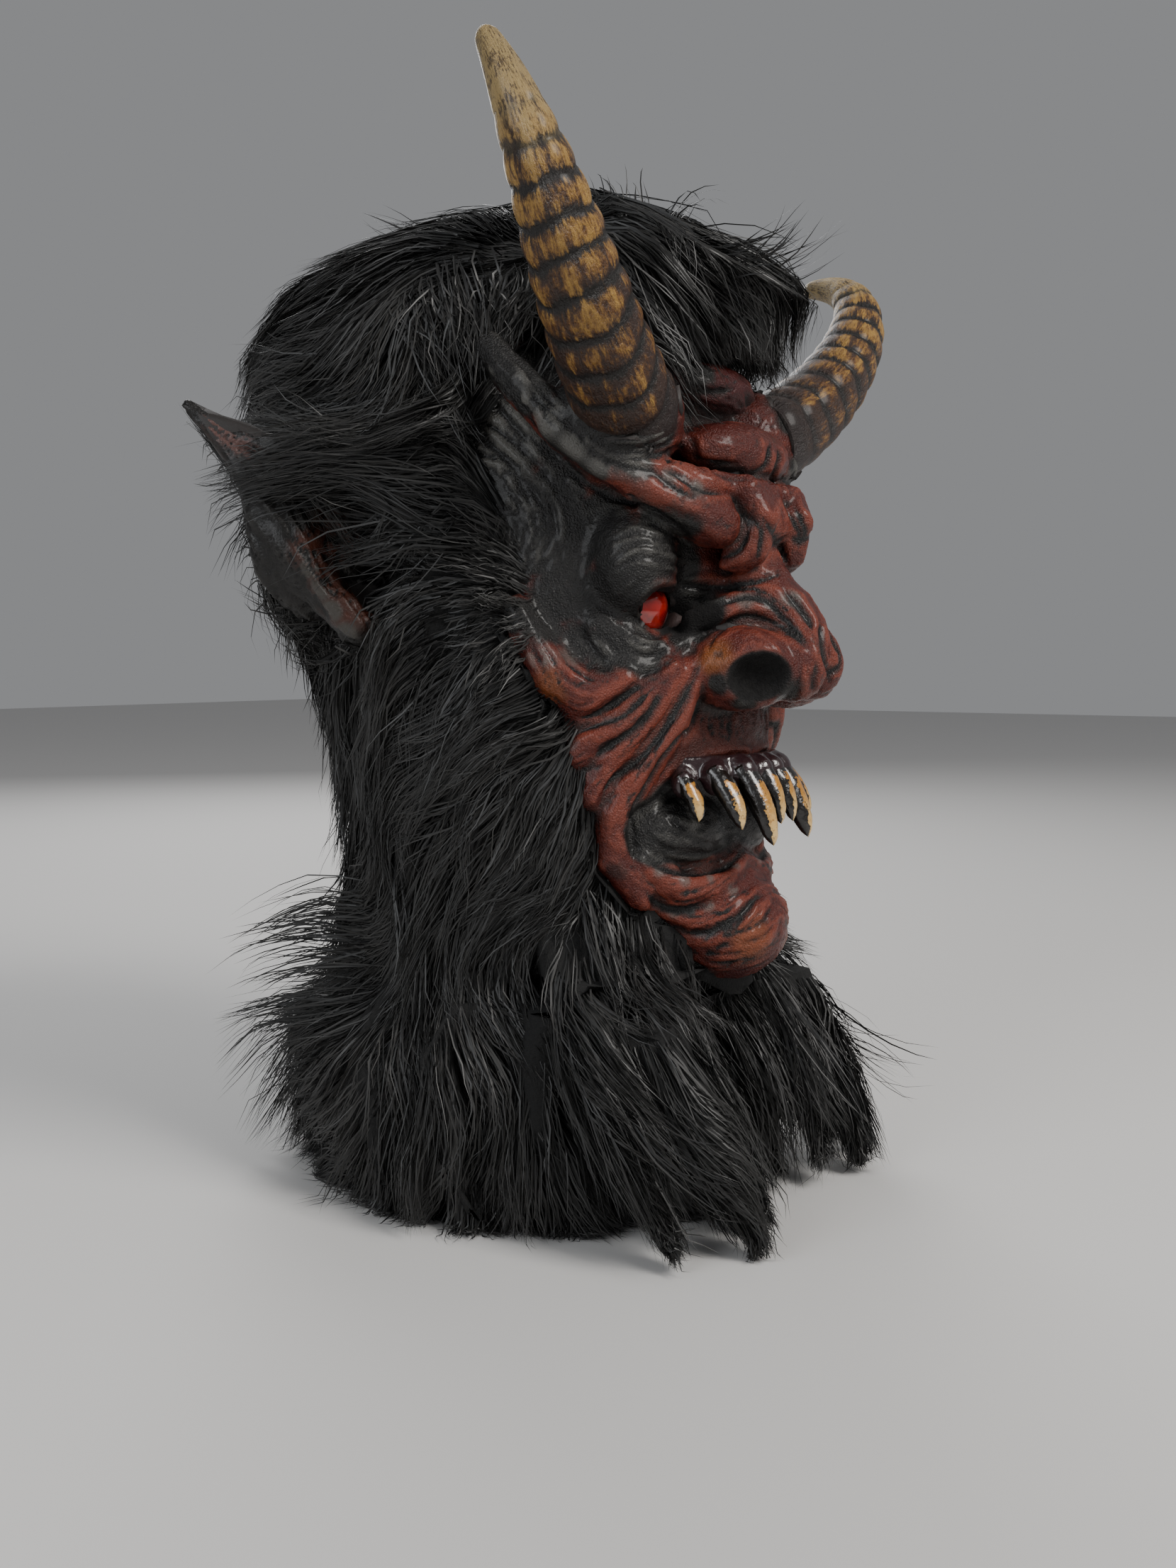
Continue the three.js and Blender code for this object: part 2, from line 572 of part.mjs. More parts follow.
// Vertices and triangles of a three.js geometry
function meshOf(geometry) {
  const plain = geometry.clone();
  plain.deleteAttribute('normal');
  plain.deleteAttribute('uv');
  const merged = mergeVertices(plain, 1e-4);
  const place = merged.getAttribute('position');
  const positions = [];
  for (let i = 0; i < place.count; i++) positions.push([place.getX(i), place.getY(i), place.getZ(i)]);
  const index = [...merged.index.array];
  const triangles = [];
  for (let i = 0; i < index.length; i += 3) triangles.push(index.slice(i, i + 3));
  return { positions, triangles };
}

// A closed tube of rings with the given radii around points
function sweep(points, radii, sides) {
  const curve = new THREE.CatmullRomCurve3(points.map(p => new THREE.Vector3(...p)));
  const frames = curve.computeFrenetFrames(points.length - 1, false);
  const positions = [];
  points.forEach((p, i) => {
    for (let s = 0; s < sides; s++) {
      const angle = (s / sides) * 2 * Math.PI;
      const u = frames.normals[i].clone().multiplyScalar(Math.cos(angle) * radii[i]);
      const v = frames.binormals[i].clone().multiplyScalar(Math.sin(angle) * radii[i]);
      positions.push([p[0] + u.x + v.x, p[1] + u.y + v.y, p[2] + u.z + v.z]);
    }
  });
  const last = points.length - 1;
  const start = positions.push(points[0]) - 1;
  const end = positions.push(points[last]) - 1;
  const triangles = [];
  for (let s = 0; s < sides; s++) {
    const t = (s + 1) % sides;
    for (let i = 0; i < last; i++) {
      const [a, b, c, d] = [i * sides + s, i * sides + t, (i + 1) * sides + t, (i + 1) * sides + s];
      triangles.push([a, b, c], [a, c, d]);
    }
    triangles.push([start, t, s], [end, last * sides + s, last * sides + t]);
  }
  return { positions, triangles };
}

function eyeMesh(radius, side) {
  const eye = new THREE.SphereGeometry(radius, 12, 8);
  eye.translate(-side * EYE.centre[0], EYE.centre[1], EYE.centre[2]);
  return meshOf(eye);
}

function hornMesh(name) {
  const curve = new THREE.CubicBezierCurve3(...HORN.curve[name].map(p => new THREE.Vector3(...p)));
  const steps = HORN.rings * 2 + 5;
  const points = [];
  const radii = [];
  for (let i = 0; i <= steps; i++) {
    const t = i / steps;
    const plain = HORN.rootRadius * (1 - t) + HORN.tipRadius * t + HORN.belly * t * (1 - t);
    const ring = t < 1 - HORN.smoothTip ? (i % 2 ? 1 : -1) * HORN.ringDepth * (1 - 0.5 * t) : 0;
    points.push(curve.getPoint(t).toArray());
    radii.push(i < steps ? plain + ring : HORN.point);
  }
  return sweep(points, radii, HORN.sides);
}

function fangMesh({ root, tip, radius }, side) {
  const points = FANG_PROFILE.map(([t]) => {
    const [x, y, z] = root.map((v, i) => v + (tip[i] - v) * t);
    return [side * x, y - FANG_BOW * Math.sin(Math.PI * t), z];
  });
  return sweep(points, FANG_PROFILE.map(([, width]) => radius * width), 5);
}

const wasm = await Module();
wasm.setup();

function solidOf({ positions, triangles }) {
  return new wasm.Manifold(new wasm.Mesh({
    numProp: 3,
    vertProperties: new Float32Array(positions.flat()),
    triVerts: new Uint32Array(triangles.flat())
  }));
}

function geometryOf(solid) {
  const { vertProperties, triVerts } = solid.getMesh();
  const geometry = new THREE.BufferGeometry();
  geometry.setAttribute('position', new THREE.BufferAttribute(new Float32Array(vertProperties), 3));
  geometry.setIndex(new THREE.BufferAttribute(new Uint32Array(triVerts), 1));
  geometry.computeVertexNormals();
  return geometry;
}

const SIDES = [[-1, 'right'], [1, 'left']];

function headWeight(x, y, z) {
  if (y < hairlineAt(z) + 8 && z > 92) return DETAIL.face;
  return Math.abs(x) > DETAIL.earX ? DETAIL.ear : DETAIL.hidden;
}

// A box of earth under the hem, which cuts the rim flat
function groundSolid() {
  const block = new THREE.BoxGeometry(600, 600, 100);
  block.translate(0, 0, -50);
  return solidOf(meshOf(block));
}

function surfaceSolid(field, sampling) {
  return solidOf(thin(surfaceMesh(field, sampling), sampling.triangles));
}

function buildSolids() {
  const ground = groundSolid();
  const outer = thin(surfaceMesh(skinField, SAMPLING.skin), SAMPLING.skin.triangles, headWeight);
  const skinRoom = solidOf(outer).add(solidOf(swollen(outer, JOIN_GAP)));
  let skin = solidOf(outer).subtract(surfaceSolid(cavityField, SAMPLING.cavity)).subtract(ground);
  let teeth = surfaceSolid(gumField, SAMPLING.gum);
  let furRoom = skinRoom;
  const solids = {};
  for (const [side, name] of SIDES) {
    const horn = hornMesh(name);
    const hornRoom = solidOf(swollen(horn, JOIN_GAP));
    skin = skin.subtract(solidOf(eyeMesh(EYE.radius + JOIN_GAP, side))).subtract(hornRoom);
    furRoom = furRoom.add(hornRoom);
    for (const fang of FANGS) teeth = teeth.add(solidOf(fangMesh(fang, side)));
    solids[`horn_${name}`] = solidOf(horn);
    solids[`eye_${name}`] = solidOf(eyeMesh(EYE.radius, side));
  }
  solids.mask_skin = skin;
  solids.upper_teeth = teeth.subtract(skinRoom);
  solids.fur_hood = surfaceSolid(hoodField, SAMPLING.hood).subtract(furRoom);
  solids.fur_collar = surfaceSolid(collarField, SAMPLING.collar).subtract(skinRoom).subtract(ground);
  return solids;
}

const FINISH = {
  mask_skin: { color: 0x6e2419, roughness: 0.45 },
  horn_right: { color: 0x8a6a34, roughness: 0.4 },
  horn_left: { color: 0x8a6a34, roughness: 0.4 },
  eye_right: { color: 0x8c0a0a, roughness: 0.15 },
  eye_left: { color: 0x8c0a0a, roughness: 0.15 },
  upper_teeth: { color: 0xb8923f, roughness: 0.25 },
  fur_hood: { color: 0x0b0b0c, roughness: 0.8 },
  fur_collar: { color: 0x0b0b0c, roughness: 0.8 }
};

const mask = new THREE.Group();
const solids = buildSolids();
for (const [name, finish] of Object.entries(FINISH)) {
  const material = new THREE.MeshStandardMaterial({ ...finish, metalness: 0 });
  const mesh = new THREE.Mesh(geometryOf(solids[name]), material);
  mesh.name = name;
  mask.add(mesh);
}

// The origin is on the ground under the middle of the mask
const reach = new THREE.Box3().setFromObject(mask);
const middle = reach.getCenter(new THREE.Vector3());
mask.position.set(-middle.x, -middle.y, 0);

export default mask;
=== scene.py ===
"""A devil mask with a painted latex face, ringed horns, red eyes, fangs and long black fur.

Forms are given in millimetres in the mask's own frame, in which x is the wearer's left, -y the
front and z the height over the hem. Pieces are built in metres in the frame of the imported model.
"""

import json
import logging
import math
from dataclasses import dataclass, field
from enum import Enum
from typing import Callable, Iterator, Sequence

import bpy
import numpy as np
from mathutils import Matrix, Vector
from mathutils.bvhtree import BVHTree

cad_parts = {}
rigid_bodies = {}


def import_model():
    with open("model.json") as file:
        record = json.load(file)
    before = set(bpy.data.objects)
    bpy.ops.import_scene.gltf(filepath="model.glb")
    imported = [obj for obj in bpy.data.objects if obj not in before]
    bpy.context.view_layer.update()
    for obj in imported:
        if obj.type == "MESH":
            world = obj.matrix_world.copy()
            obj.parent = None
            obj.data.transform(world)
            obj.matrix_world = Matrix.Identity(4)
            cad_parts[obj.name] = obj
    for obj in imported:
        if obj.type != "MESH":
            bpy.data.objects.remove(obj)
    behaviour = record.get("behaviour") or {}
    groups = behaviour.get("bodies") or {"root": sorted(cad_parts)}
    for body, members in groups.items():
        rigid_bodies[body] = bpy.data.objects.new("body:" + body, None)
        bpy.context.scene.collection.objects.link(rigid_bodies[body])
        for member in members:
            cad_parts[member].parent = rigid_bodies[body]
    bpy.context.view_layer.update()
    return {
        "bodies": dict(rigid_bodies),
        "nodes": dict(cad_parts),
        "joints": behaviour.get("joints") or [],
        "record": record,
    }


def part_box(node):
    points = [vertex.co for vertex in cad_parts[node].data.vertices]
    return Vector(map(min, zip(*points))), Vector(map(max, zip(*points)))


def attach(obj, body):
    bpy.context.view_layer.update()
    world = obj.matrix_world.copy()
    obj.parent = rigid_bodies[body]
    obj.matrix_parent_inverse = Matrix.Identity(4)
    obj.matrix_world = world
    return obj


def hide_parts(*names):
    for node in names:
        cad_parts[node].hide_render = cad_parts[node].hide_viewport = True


LOG = logging.getLogger("devil_mask")
MM = 0.001
BODY = "root"
HASH_PRIMES = (73856093, 19349663, 83492791, 668265263)
HASH_MIXERS = ((15, 2246822519), (13, 3266489917))

Array = np.ndarray
Point = tuple[float, float, float]
Pixel = tuple[float, float]
Colour = tuple[float, float, float]
Distance = Callable[[Array], Array]


# Numbers and distances


def unit(vectors: Array) -> Array:
    """Rows scaled to length one."""
    return vectors / np.maximum(np.linalg.norm(vectors, axis=-1, keepdims=True), 1e-9)


def join(a: Array, b: Array, k: float) -> Array:
    """Smooth union of two distances, with a fillet k wide."""
    h = np.maximum(k - np.abs(a - b), 0)
    return np.minimum(a, b) - h * h / (4 * k)


def carve(a: Array, b: Array, k: float) -> Array:
    """What is left of a when b is cut from it, with a rounded edge."""
    return -join(-a, b, k)


def smooth(values: Array, low: float, high: float) -> Array:
    """Eased step from 0 at low to 1 at high."""
    t = np.clip((values - low) / (high - low), 0, 1)
    return t * t * (3 - 2 * t)


def folded(points: Array) -> Array:
    """Points laid over on the right side of the mask."""
    out = np.array(points, float)
    out[:, 0] = -np.abs(out[:, 0])
    return out


def lattice(*count: int) -> Array:
    """Numbers of all nodes of a grid, in rows of three."""
    return np.stack(np.meshgrid(*[np.arange(c) for c in count], indexing="ij"), -1).reshape(-1, 3)


def corners(base: Array, t: Array) -> Iterator[tuple[Array, Array]]:
    """The corners of the grid cells that hold some places, one after the other.

    Args:
        base: lowest corner of each cell.
        t: how far each place lies through its cell along the axes.

    Yields:
        Numbers of the corner's nodes and their weights.
    """
    for corner in range(8):
        o = np.array([corner & 1, corner >> 1 & 1, corner >> 2 & 1])
        yield base + o, np.prod(np.where(o, t, 1 - t), axis=1)


def inside(p: Array, low: Sequence[float], high: Sequence[float]) -> Array:
    """Which places lie in a box."""
    return ((p > np.array(low)) & (p < np.array(high))).all(1)


def value_noise(points: Array, cell: float, seed: int) -> Array:
    """Smooth random values from -1 to 1.

    Args:
        points: places in millimetres.
        cell: distance between independent values.
        seed: picks one of many noises.

    Returns:
        One value for each place.
    """
    q = points / cell
    base = np.floor(q).astype(np.int64)
    t = q - base
    total = np.zeros(len(points))
    for n, weight in corners(base, t * t * (3 - 2 * t)):
        h = seed * HASH_PRIMES[3]
        for axis in range(3):
            h = h ^ n[:, axis] * HASH_PRIMES[axis]
        for shift, factor in HASH_MIXERS:
            h = (h ^ (h >> shift)) * factor & 0xFFFFFFFF
        total += weight * ((h >> 8 & 0xFFFF) / 32767.5 - 1)
    return total


@dataclass(frozen=True)
class Ball:
    """An egg of flesh with its own turn in degrees."""

    centre: Point
    radii: Point
    blend: float = 1.0
    turn: Point = (0, 0, 0)
    cut: bool = False

    @property
    def reach(self) -> float:
        """Greatest radius."""
        return max(self.radii)

    @property
    def middle(self) -> Point:
        """Centre of the form."""
        return self.centre

    def distance(self, p: Array) -> Array:
        """Near distance of places to the egg."""
        rx, ry, rz = (Matrix.Rotation(math.radians(a), 3, axis) for a, axis in zip(self.turn, "XYZ"))
        local = (p - self.centre) @ np.array(rx @ ry @ rz) / self.radii
        near = np.linalg.norm(local, axis=1)
        slope = np.maximum(np.linalg.norm(local / self.radii, axis=1), 1e-9)
        return near * (near - 1) / slope


@dataclass(frozen=True)
class Roll:
    """A rope of flesh through points with their radii."""

    points: tuple[tuple[float, float, float, float], ...]
    blend: float = 1.0
    cut: bool = False

    @property
    def middle(self) -> Array:
        """Centre of the box round the points."""
        places = np.array(self.points)[:, :3]
        return (places.min(0) + places.max(0)) / 2

    @property
    def reach(self) -> float:
        """Distance from the centre that holds the whole roll."""
        data = np.array(self.points)
        return float((np.linalg.norm(data[:, :3] - self.middle, axis=1) + data[:, 3]).max())

    def distance(self, p: Array) -> Array:
        """Near distance of places to the roll.

        Args:
            p: places in millimetres.

        Returns:
            One distance for each place.
        """
        best = np.full(len(p), np.inf)
        data = np.array(self.points, float)
        for a, b in zip(data[:-1], data[1:]):
            e = b[:3] - a[:3]
            t = np.clip((p - a[:3]) @ e / (e @ e), 0, 1)
            gap = np.linalg.norm(p - a[:3] - t[:, None] * e, axis=1) - a[3] - t * (b[3] - a[3])
            best = np.minimum(best, gap)
        return best


def worked(forms: Sequence[Ball | Roll], start: Array, p: Array) -> Array:
    """Works forms into a distance one after the other, the same on both sides.

    Args:
        forms: balls and rolls on the right side.
        start: distance before them.
        p: places in millimetres.

    Returns:
        The distance after them.
    """
    side = p.copy()
    side[:, 0] = -np.sqrt(p[:, 0] ** 2 + 1)
    d = start.copy()
    for form in forms:
        clear = np.linalg.norm(side - form.middle, axis=1) - form.reach
        near = np.flatnonzero(clear <= (-d if form.cut else d) + form.blend)
        if len(near):
            f = form.distance(side[near])
            mix = carve if form.cut else join
            d[near] = mix(d[near], f, form.blend)
    return d


def folds(streaks: Array) -> Array:
    """Heights of rounded folds with narrow valleys between them, out of streaks of noise."""
    return np.minimum(np.abs(streaks) ** 0.8, 1.5) - 0.75


def gradient(distance: Distance, p: Array, step: float = 0.4) -> Array:
    """Slope of a distance by differences along the three axes.

    Args:
        distance: the field.
        p: places in millimetres.
        step: half of the difference's length.

    Returns:
        Slopes in rows of three.
    """
    out = np.empty_like(p)
    for axis in range(3):
        shift = np.zeros(3)
        shift[axis] = step
        out[:, axis] = (distance(p + shift) - distance(p - shift)) / (2 * step)
    return out


# Surfaces


@dataclass(frozen=True)
class Surface:
    """Surface of a distance inside a box, found on a grid that is fine only near the surface."""

    low: Point
    high: Point
    step: float
    block: int = 4
    mirrored: bool = False
    margin: float = 1.5
    far: float = 50
    batch: int = 4000

    def values(self, distance: Distance) -> tuple[Array, Array]:
        """Values on the grid, exact near the surface and only signed elsewhere.

        Args:
            distance: the field whose zero is the surface.

        Returns:
            Lowest corner of the grid and the values.
        """
        low = np.array(self.low, float)
        count = np.ceil((np.array(self.high) - low) / (self.step * self.block)).astype(int)
        if self.mirrored:
            low[0] = -self.step * (count[0] * self.block - 1)
        blocks = lattice(*count)
        centres = low + self.step * (blocks * self.block + (self.block - 1) / 2)
        rough = distance(centres)
        near = np.abs(rough) < self.step * self.block * self.margin
        values = np.repeat(np.sign(rough).astype(np.float32) * self.far, self.block**3)
        values = values.reshape(len(blocks), -1)
        inner = lattice(*[self.block] * 3)
        for part in np.array_split(np.flatnonzero(near), max(int(near.sum()) // self.batch, 1)):
            nodes = (blocks[part, None] * self.block + inner).reshape(-1, 3)
            values[part] = distance(low + self.step * nodes).reshape(len(part), -1)
        grid = values.reshape(*count, self.block, self.block, self.block)
        grid = grid.transpose(0, 3, 1, 4, 2, 5).reshape(*(count * self.block))
        if self.mirrored:
            grid = np.concatenate([grid, grid[-2::-1]], axis=0)
        return low, grid

    def mesh(self, distance: Distance) -> tuple[Array, Array]:
        """Vertices and quads of the surface, by one vertex in each cell that it crosses.

        Args:
            distance: the field whose zero is the surface.

        Returns:
            Places in millimetres and rows of four vertex numbers.
        """
        low, grid = self.values(distance)
        n = np.array(grid.shape)
        within = grid < 0
        offsets = lattice(2, 2, 2)
        count = sum(
            within[a : n[0] - 1 + a, b : n[1] - 1 + b, c : n[2] - 1 + c].astype(np.int8) for a, b, c in offsets
        )
        cells = np.argwhere((count > 0) & (count < 8))
        number = -np.ones(n - 1, np.int64)
        number[tuple(cells.T)] = np.arange(len(cells))
        at = [grid[cells[:, 0] + a, cells[:, 1] + b, cells[:, 2] + c] for a, b, c in offsets]
        total = np.zeros((len(cells), 3))
        hits = np.zeros(len(cells))
        for i, first in enumerate(offsets):
            for j, second in enumerate(offsets[i + 1 :], i + 1):
                if np.abs(first - second).sum() != 1:
                    continue
                crossed = (at[i] < 0) != (at[j] < 0)
                gap = np.where(crossed, at[i] - at[j], 1)
                t = np.where(crossed, at[i] / gap, 0)
                place = first + (second - first) * t[:, None]
                total[crossed] += place[crossed]
                hits[crossed] += 1
        places = low + self.step * (cells + total / hits[:, None])
        quads = [self.crossings(within, number, axis) for axis in range(3)]
        return places, np.vstack(quads)

    @staticmethod
    def crossings(within: Array, number: Array, axis: int) -> Array:
        """Quads round the grid edges along one axis that cross the surface.

        Args:
            within: which nodes of the grid are inside.
            number: number of the vertex in each cell.
            axis: direction of the edges.

        Returns:
            Rows of four vertex numbers.
        """
        u, v = [a for a in range(3) if a != axis]
        ahead = [slice(None)] * 3
        behind = [slice(None)] * 3
        behind[axis] = slice(0, -1)
        ahead[axis] = slice(1, None)
        e = np.argwhere(within[tuple(behind)] != within[tuple(ahead)])
        e = e[(e[:, u] > 0) & (e[:, v] > 0) & (e[:, u] < within.shape[u] - 1) & (e[:, v] < within.shape[v] - 1)]
        ring = []
        for du, dv in ((1, 1), (0, 1), (0, 0), (1, 0)):
            c = e.copy()
            c[:, u] -= du
            c[:, v] -= dv
            ring.append(number[c[:, 0], c[:, 1], c[:, 2]])
        quads = np.stack(ring, 1)
        outward = within[tuple(e.T)]
        if axis == 1:
            outward = ~outward
        quads[~outward] = quads[~outward][:, ::-1]
        return quads


def settled(distance: Distance, p: Array, rounds: int = 2) -> Array:
    """Places drawn on to the zero of a distance."""
    for _ in range(rounds):
        slope = gradient(distance, p)
        move = distance(p)[:, None] * slope / np.maximum((slope**2).sum(1, keepdims=True), 0.05)
        p = p - np.clip(move, -1, 1)
    return p


def compacted(places: Array, faces: Array) -> tuple[Array, Array, Array]:
    """Drops vertices that no face uses.

    Args:
        places: all vertices.
        faces: kept faces.

    Returns:
        Kept vertices, renumbered faces and the old numbers of the kept vertices.
    """
    used = np.unique(faces)
    number = -np.ones(len(places), np.int64)
    number[used] = np.arange(len(used))
    return places[used], number[faces], used


def vertex_normals(places: Array, quads: Array) -> Array:
    """Normals by the area of the quads round each vertex.

    Args:
        places: vertices.
        quads: faces.

    Returns:
        Unit normals.
    """
    a, b, c, d = (places[quads[:, i]] for i in range(4))
    face = np.cross(c - a, d - b)
    out = np.zeros_like(places)
    for i in range(4):
        for axis in range(3):
            out[:, axis] += np.bincount(quads[:, i], face[:, axis], len(places))
    return unit(out)


# Meshes and the frame


@dataclass
class Workshop:
    """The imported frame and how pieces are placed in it."""

    frame: dict
    shift: Array = field(init=False)

    def __post_init__(self) -> None:
        """Finds where the mask's own frame lies, from the right eye."""
        low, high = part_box("eye_right")
        self.shift = np.array((low + high) / 2) - np.array(EYE_CENTRE) * MM

    def placed(self, p: Array) -> Array:
        """Millimetres of the mask's frame as metres of the model's."""
        return p * MM + self.shift

    def own(self, p: Array) -> Array:
        """Metres of the model as millimetres of the mask's frame."""
        return (p - self.shift) / MM

    def node_mesh(self, name: str) -> tuple[Array, Array]:
        """Vertices in the mask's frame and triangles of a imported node.

        Args:
            name: the node's name.

        Returns:
            Vertices and rows of three vertex numbers.
        """
        data = self.frame["nodes"][name].data
        data.calc_loop_triangles()
        co = np.empty(len(data.vertices) * 3)
        data.vertices.foreach_get("co", co)
        tri = np.empty(len(data.loop_triangles) * 3, np.int64)
        data.loop_triangles.foreach_get("vertices", tri)
        return self.own(co.reshape(-1, 3)), tri.reshape(-1, 3)

    def piece(
        self,
        name: str,
        places: Array,
        faces: Sequence[Array],
        material: bpy.types.Material,
        replaces: Sequence[str],
        marks: dict[str, Array] | None = None,
    ) -> None:
        """Makes a mesh object that rides on the mask.

        Args:
            name: the piece's name.
            places: vertices in millimetres of the mask's frame.
            faces: arrays of faces, each with one number of corners.
            material: its finish.
            replaces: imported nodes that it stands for.
            marks: values at the vertices that the finish reads.
        """
        mesh = bpy.data.meshes.new(name)
        mesh.vertices.add(len(places))
        mesh.vertices.foreach_set("co", self.placed(places).astype(np.float32).ravel())
        loops = np.concatenate([f.ravel() for f in faces])
        sizes = np.concatenate([np.full(len(f), f.shape[1]) for f in faces])
        mesh.loops.add(len(loops))
        mesh.loops.foreach_set("vertex_index", loops.astype(np.int32))
        mesh.polygons.add(len(sizes))
        starts = np.concatenate([[0], np.cumsum(sizes)[:-1]])
        mesh.polygons.foreach_set("loop_start", starts.astype(np.int32))
        mesh.polygons.foreach_set("use_smooth", np.ones(len(sizes), bool))
        for key, values in (marks or {}).items():
            layer = mesh.attributes.new(key, "FLOAT", "POINT")
            layer.data.foreach_set("value", values.astype(np.float32))
        mesh.update(calc_edges=True)
        mesh.materials.append(material)
        thing = bpy.data.objects.new(name, mesh)
        bpy.context.scene.collection.objects.link(thing)
        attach(thing, BODY)
        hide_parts(*replaces)
        triangles = int((sizes - 2).sum())
        LOG.info("%s: %d vertices, %d triangles", name, len(places), triangles)


# Forms of the head


EYE_CENTRE: Point = (-42, -66, 269)
SLIT_CUT = Ball((-41, -88, 268), (16, 18, 9), 3, (0, 10, 0), True)
NOSTRIL_CUT = Ball((-34, -124, 239), (12, 15, 11), 3, (0, 0, 30), True)
MOUTH_CUT = Roll(((0, -114, 180, 21), (-22, -106, 180, 21), (-42, -94, 178, 18), (-52, -82, 174, 12)), 4, True)


@dataclass(frozen=True)
class HeadForm:
    """Skull, face, cheeks, jaw and neck with the carving and the ears."""

    skull: Ball = Ball((0, 26, 322), (88, 112, 104))
    face: Ball = Ball((0, -12, 232), (84, 88, 118), 30)
    cheek: Ball = Ball((-42, -40, 200), (35, 32, 52), 22)
    jaw: Ball = Ball((0, -46, 140), (50, 52, 46), 24)
    neck_y: float = 18
    neck_half: tuple[float, float] = (78, 80)
    neck_top: float = 230
    neck_edge: float = 30
    neck_blend: float = 34
    hem_flare: float = 12
    flare_height: float = 70
    far_off: float = 75
    carving: tuple[Ball | Roll, ...] = (
        # Forehead bulges, swollen horn root and its edge
        Ball((0, -78, 367), (31, 16, 11), 6),
        Ball((0, -91, 337), (38, 20, 14), 6),
        Ball((-59, -68, 349), (29, 26, 27), 8),
        Roll(((-72, -66, 335, 4), (-58, -82, 326, 5), (-38, -98, 322, 5), (-14, -107, 320, 5)), 4),
        # Brow and frown folds
        Roll(
            ((-86, -20, 377, 7), (-87, -38, 359, 8), (-82, -56, 341, 9), (-69, -74, 326, 9),
             (-52, -89, 315, 10), (-34, -98, 305, 12)),
            6,
        ),
        Roll(((-22, -109, 319, 6), (-17, -112, 308, 9), (-19, -109, 295, 8), (-26, -100, 286, 6)), 4),
        Roll(((-4, -105, 320, 6), (-3, -108, 306, 8), (0, -102, 290, 6)), 4),
        # Eye socket, hooded lid, bags and the slit of the eye
        Ball((-45, -98, 272), (24, 22, 20), 12, cut=True),
        Ball((-50, -69, 288), (22, 19, 24), 6, (0, 0, 25)),
        Roll(((-65, -60, 262, 5), (-56, -75, 253, 5), (-43, -83, 250, 5), (-34, -87, 255, 4)), 5),
        Roll(((-64, -62, 250, 5), (-54, -77, 243, 5), (-42, -85, 242, 4)), 4),
        SLIT_CUT,
        # Cheekbone
        Roll(
            ((-85, -32, 268, 6), (-83, -40, 253, 8), (-80, -49, 240, 9), (-74, -59, 233, 9), (-63, -72, 238, 6)),
            7,
        ),
        # Nose, wing and nostril
        Ball((0, -102, 268), (19, 16, 25), 8),
        Roll(((0, -100, 288, 9), (0, -108, 278, 11), (0, -117, 267, 13), (0, -123, 256, 14)), 8),
        Roll(((-31, -88, 264, 5), (-23, -100, 268, 6), (-9, -113, 270, 6)), 6),
        Ball((-8, -125, 245), (12, 15, 16), 4),
        Ball((-23, -107, 243), (18, 24, 18), 4, (0, 0, 20)),
        NOSTRIL_CUT,
        # Folds round the mouth and the upper lip
        Roll(
            ((-39, -92, 242, 6), (-47, -86, 220, 7), (-57, -75, 199, 7), (-63, -67, 181, 8),
             (-61, -66, 163, 8), (-50, -73, 146, 7)),
            4,
        ),
        Roll(((-48, -87, 243, 5), (-57, -80, 226, 6), (-66, -68, 207, 6), (-71, -61, 190, 6)), 4),
        Roll(((-56, -81, 236, 4), (-66, -71, 220, 6), (-75, -57, 208, 6)), 4),
        Ball((0, -87, 213), (30, 14, 18), 8),
        # Mouth, inner lip, lower lip and chin
        MOUTH_CUT,
        Ball((-24, -65, 172), (34, 31, 20), 3),
        Roll(((-52, -75, 161, 6), (-38, -86, 148, 7), (-18, -95, 147, 7), (0, -94, 157, 6)), 3),
        Roll(((-44, -72, 145, 6), (-31, -86, 136, 6), (-15, -95, 141, 6), (0, -98, 148, 5)), 3),
        Ball((0, -89, 127), (31, 28, 25), 5),
    )
    ear: tuple[Ball | Roll, ...] = (
        Roll(
            ((-92, 22, 252, 7), (-112, 34, 262, 8), (-126, 52, 292, 9), (-134, 72, 325, 7), (-148, 92, 354, 3)),
            6,
        ),
        Roll(((-88, 24, 318, 8), (-108, 38, 330, 8), (-128, 62, 338, 7), (-146, 90, 353, 3)), 6),
        Ball((-112, 54, 302), (12, 30, 38), 8, (0, 0, 60)),
        Ball((-122, 30, 302), (15, 12, 26), 5, (0, 0, 60), True),
    )
    hairline: tuple[tuple[float, float], ...] = (
        (-97, 108), (-83, 130), (-71, 150), (-64, 172), (-61, 190), (-58, 212), (-53, 240),
        (-38, 270), (-28, 297), (-18, 322), (-4, 347), (-4, 374), (-10, 384), (-60, 410),
    )
    slope_below: float = 3
    slope_above: float = 6

    def neck(self, p: Array) -> Array:
        """Distance to the neck with its flared hem."""
        rest = np.maximum(1 - np.maximum(p[:, 2], 0) / self.flare_height, 0)
        flare = self.hem_flare * rest**2
        a = p[:, 0] / (self.neck_half[0] + flare)
        b = (p[:, 1] - self.neck_y) / (self.neck_half[1] + flare)
        return carve((np.hypot(a, b) - 1) * (self.neck_half[0] + flare), self.neck_top - p[:, 2], self.neck_edge)

    def plain(self, p: Array) -> Array:
        """Distance to the head without its carving."""
        side = folded(p)
        d = self.skull.distance(side)
        for part in (self.face, self.cheek, self.jaw):
            d = join(d, part.distance(side), part.blend)
        return join(d, self.neck(p), self.neck_blend)

    def carved(self, p: Array) -> Array:
        """Distance to the head with its carving, without ears."""
        d = self.plain(p)
        near = np.flatnonzero(d <= self.far_off)
        d[near] = worked(self.carving, d[near], p[near])
        return d

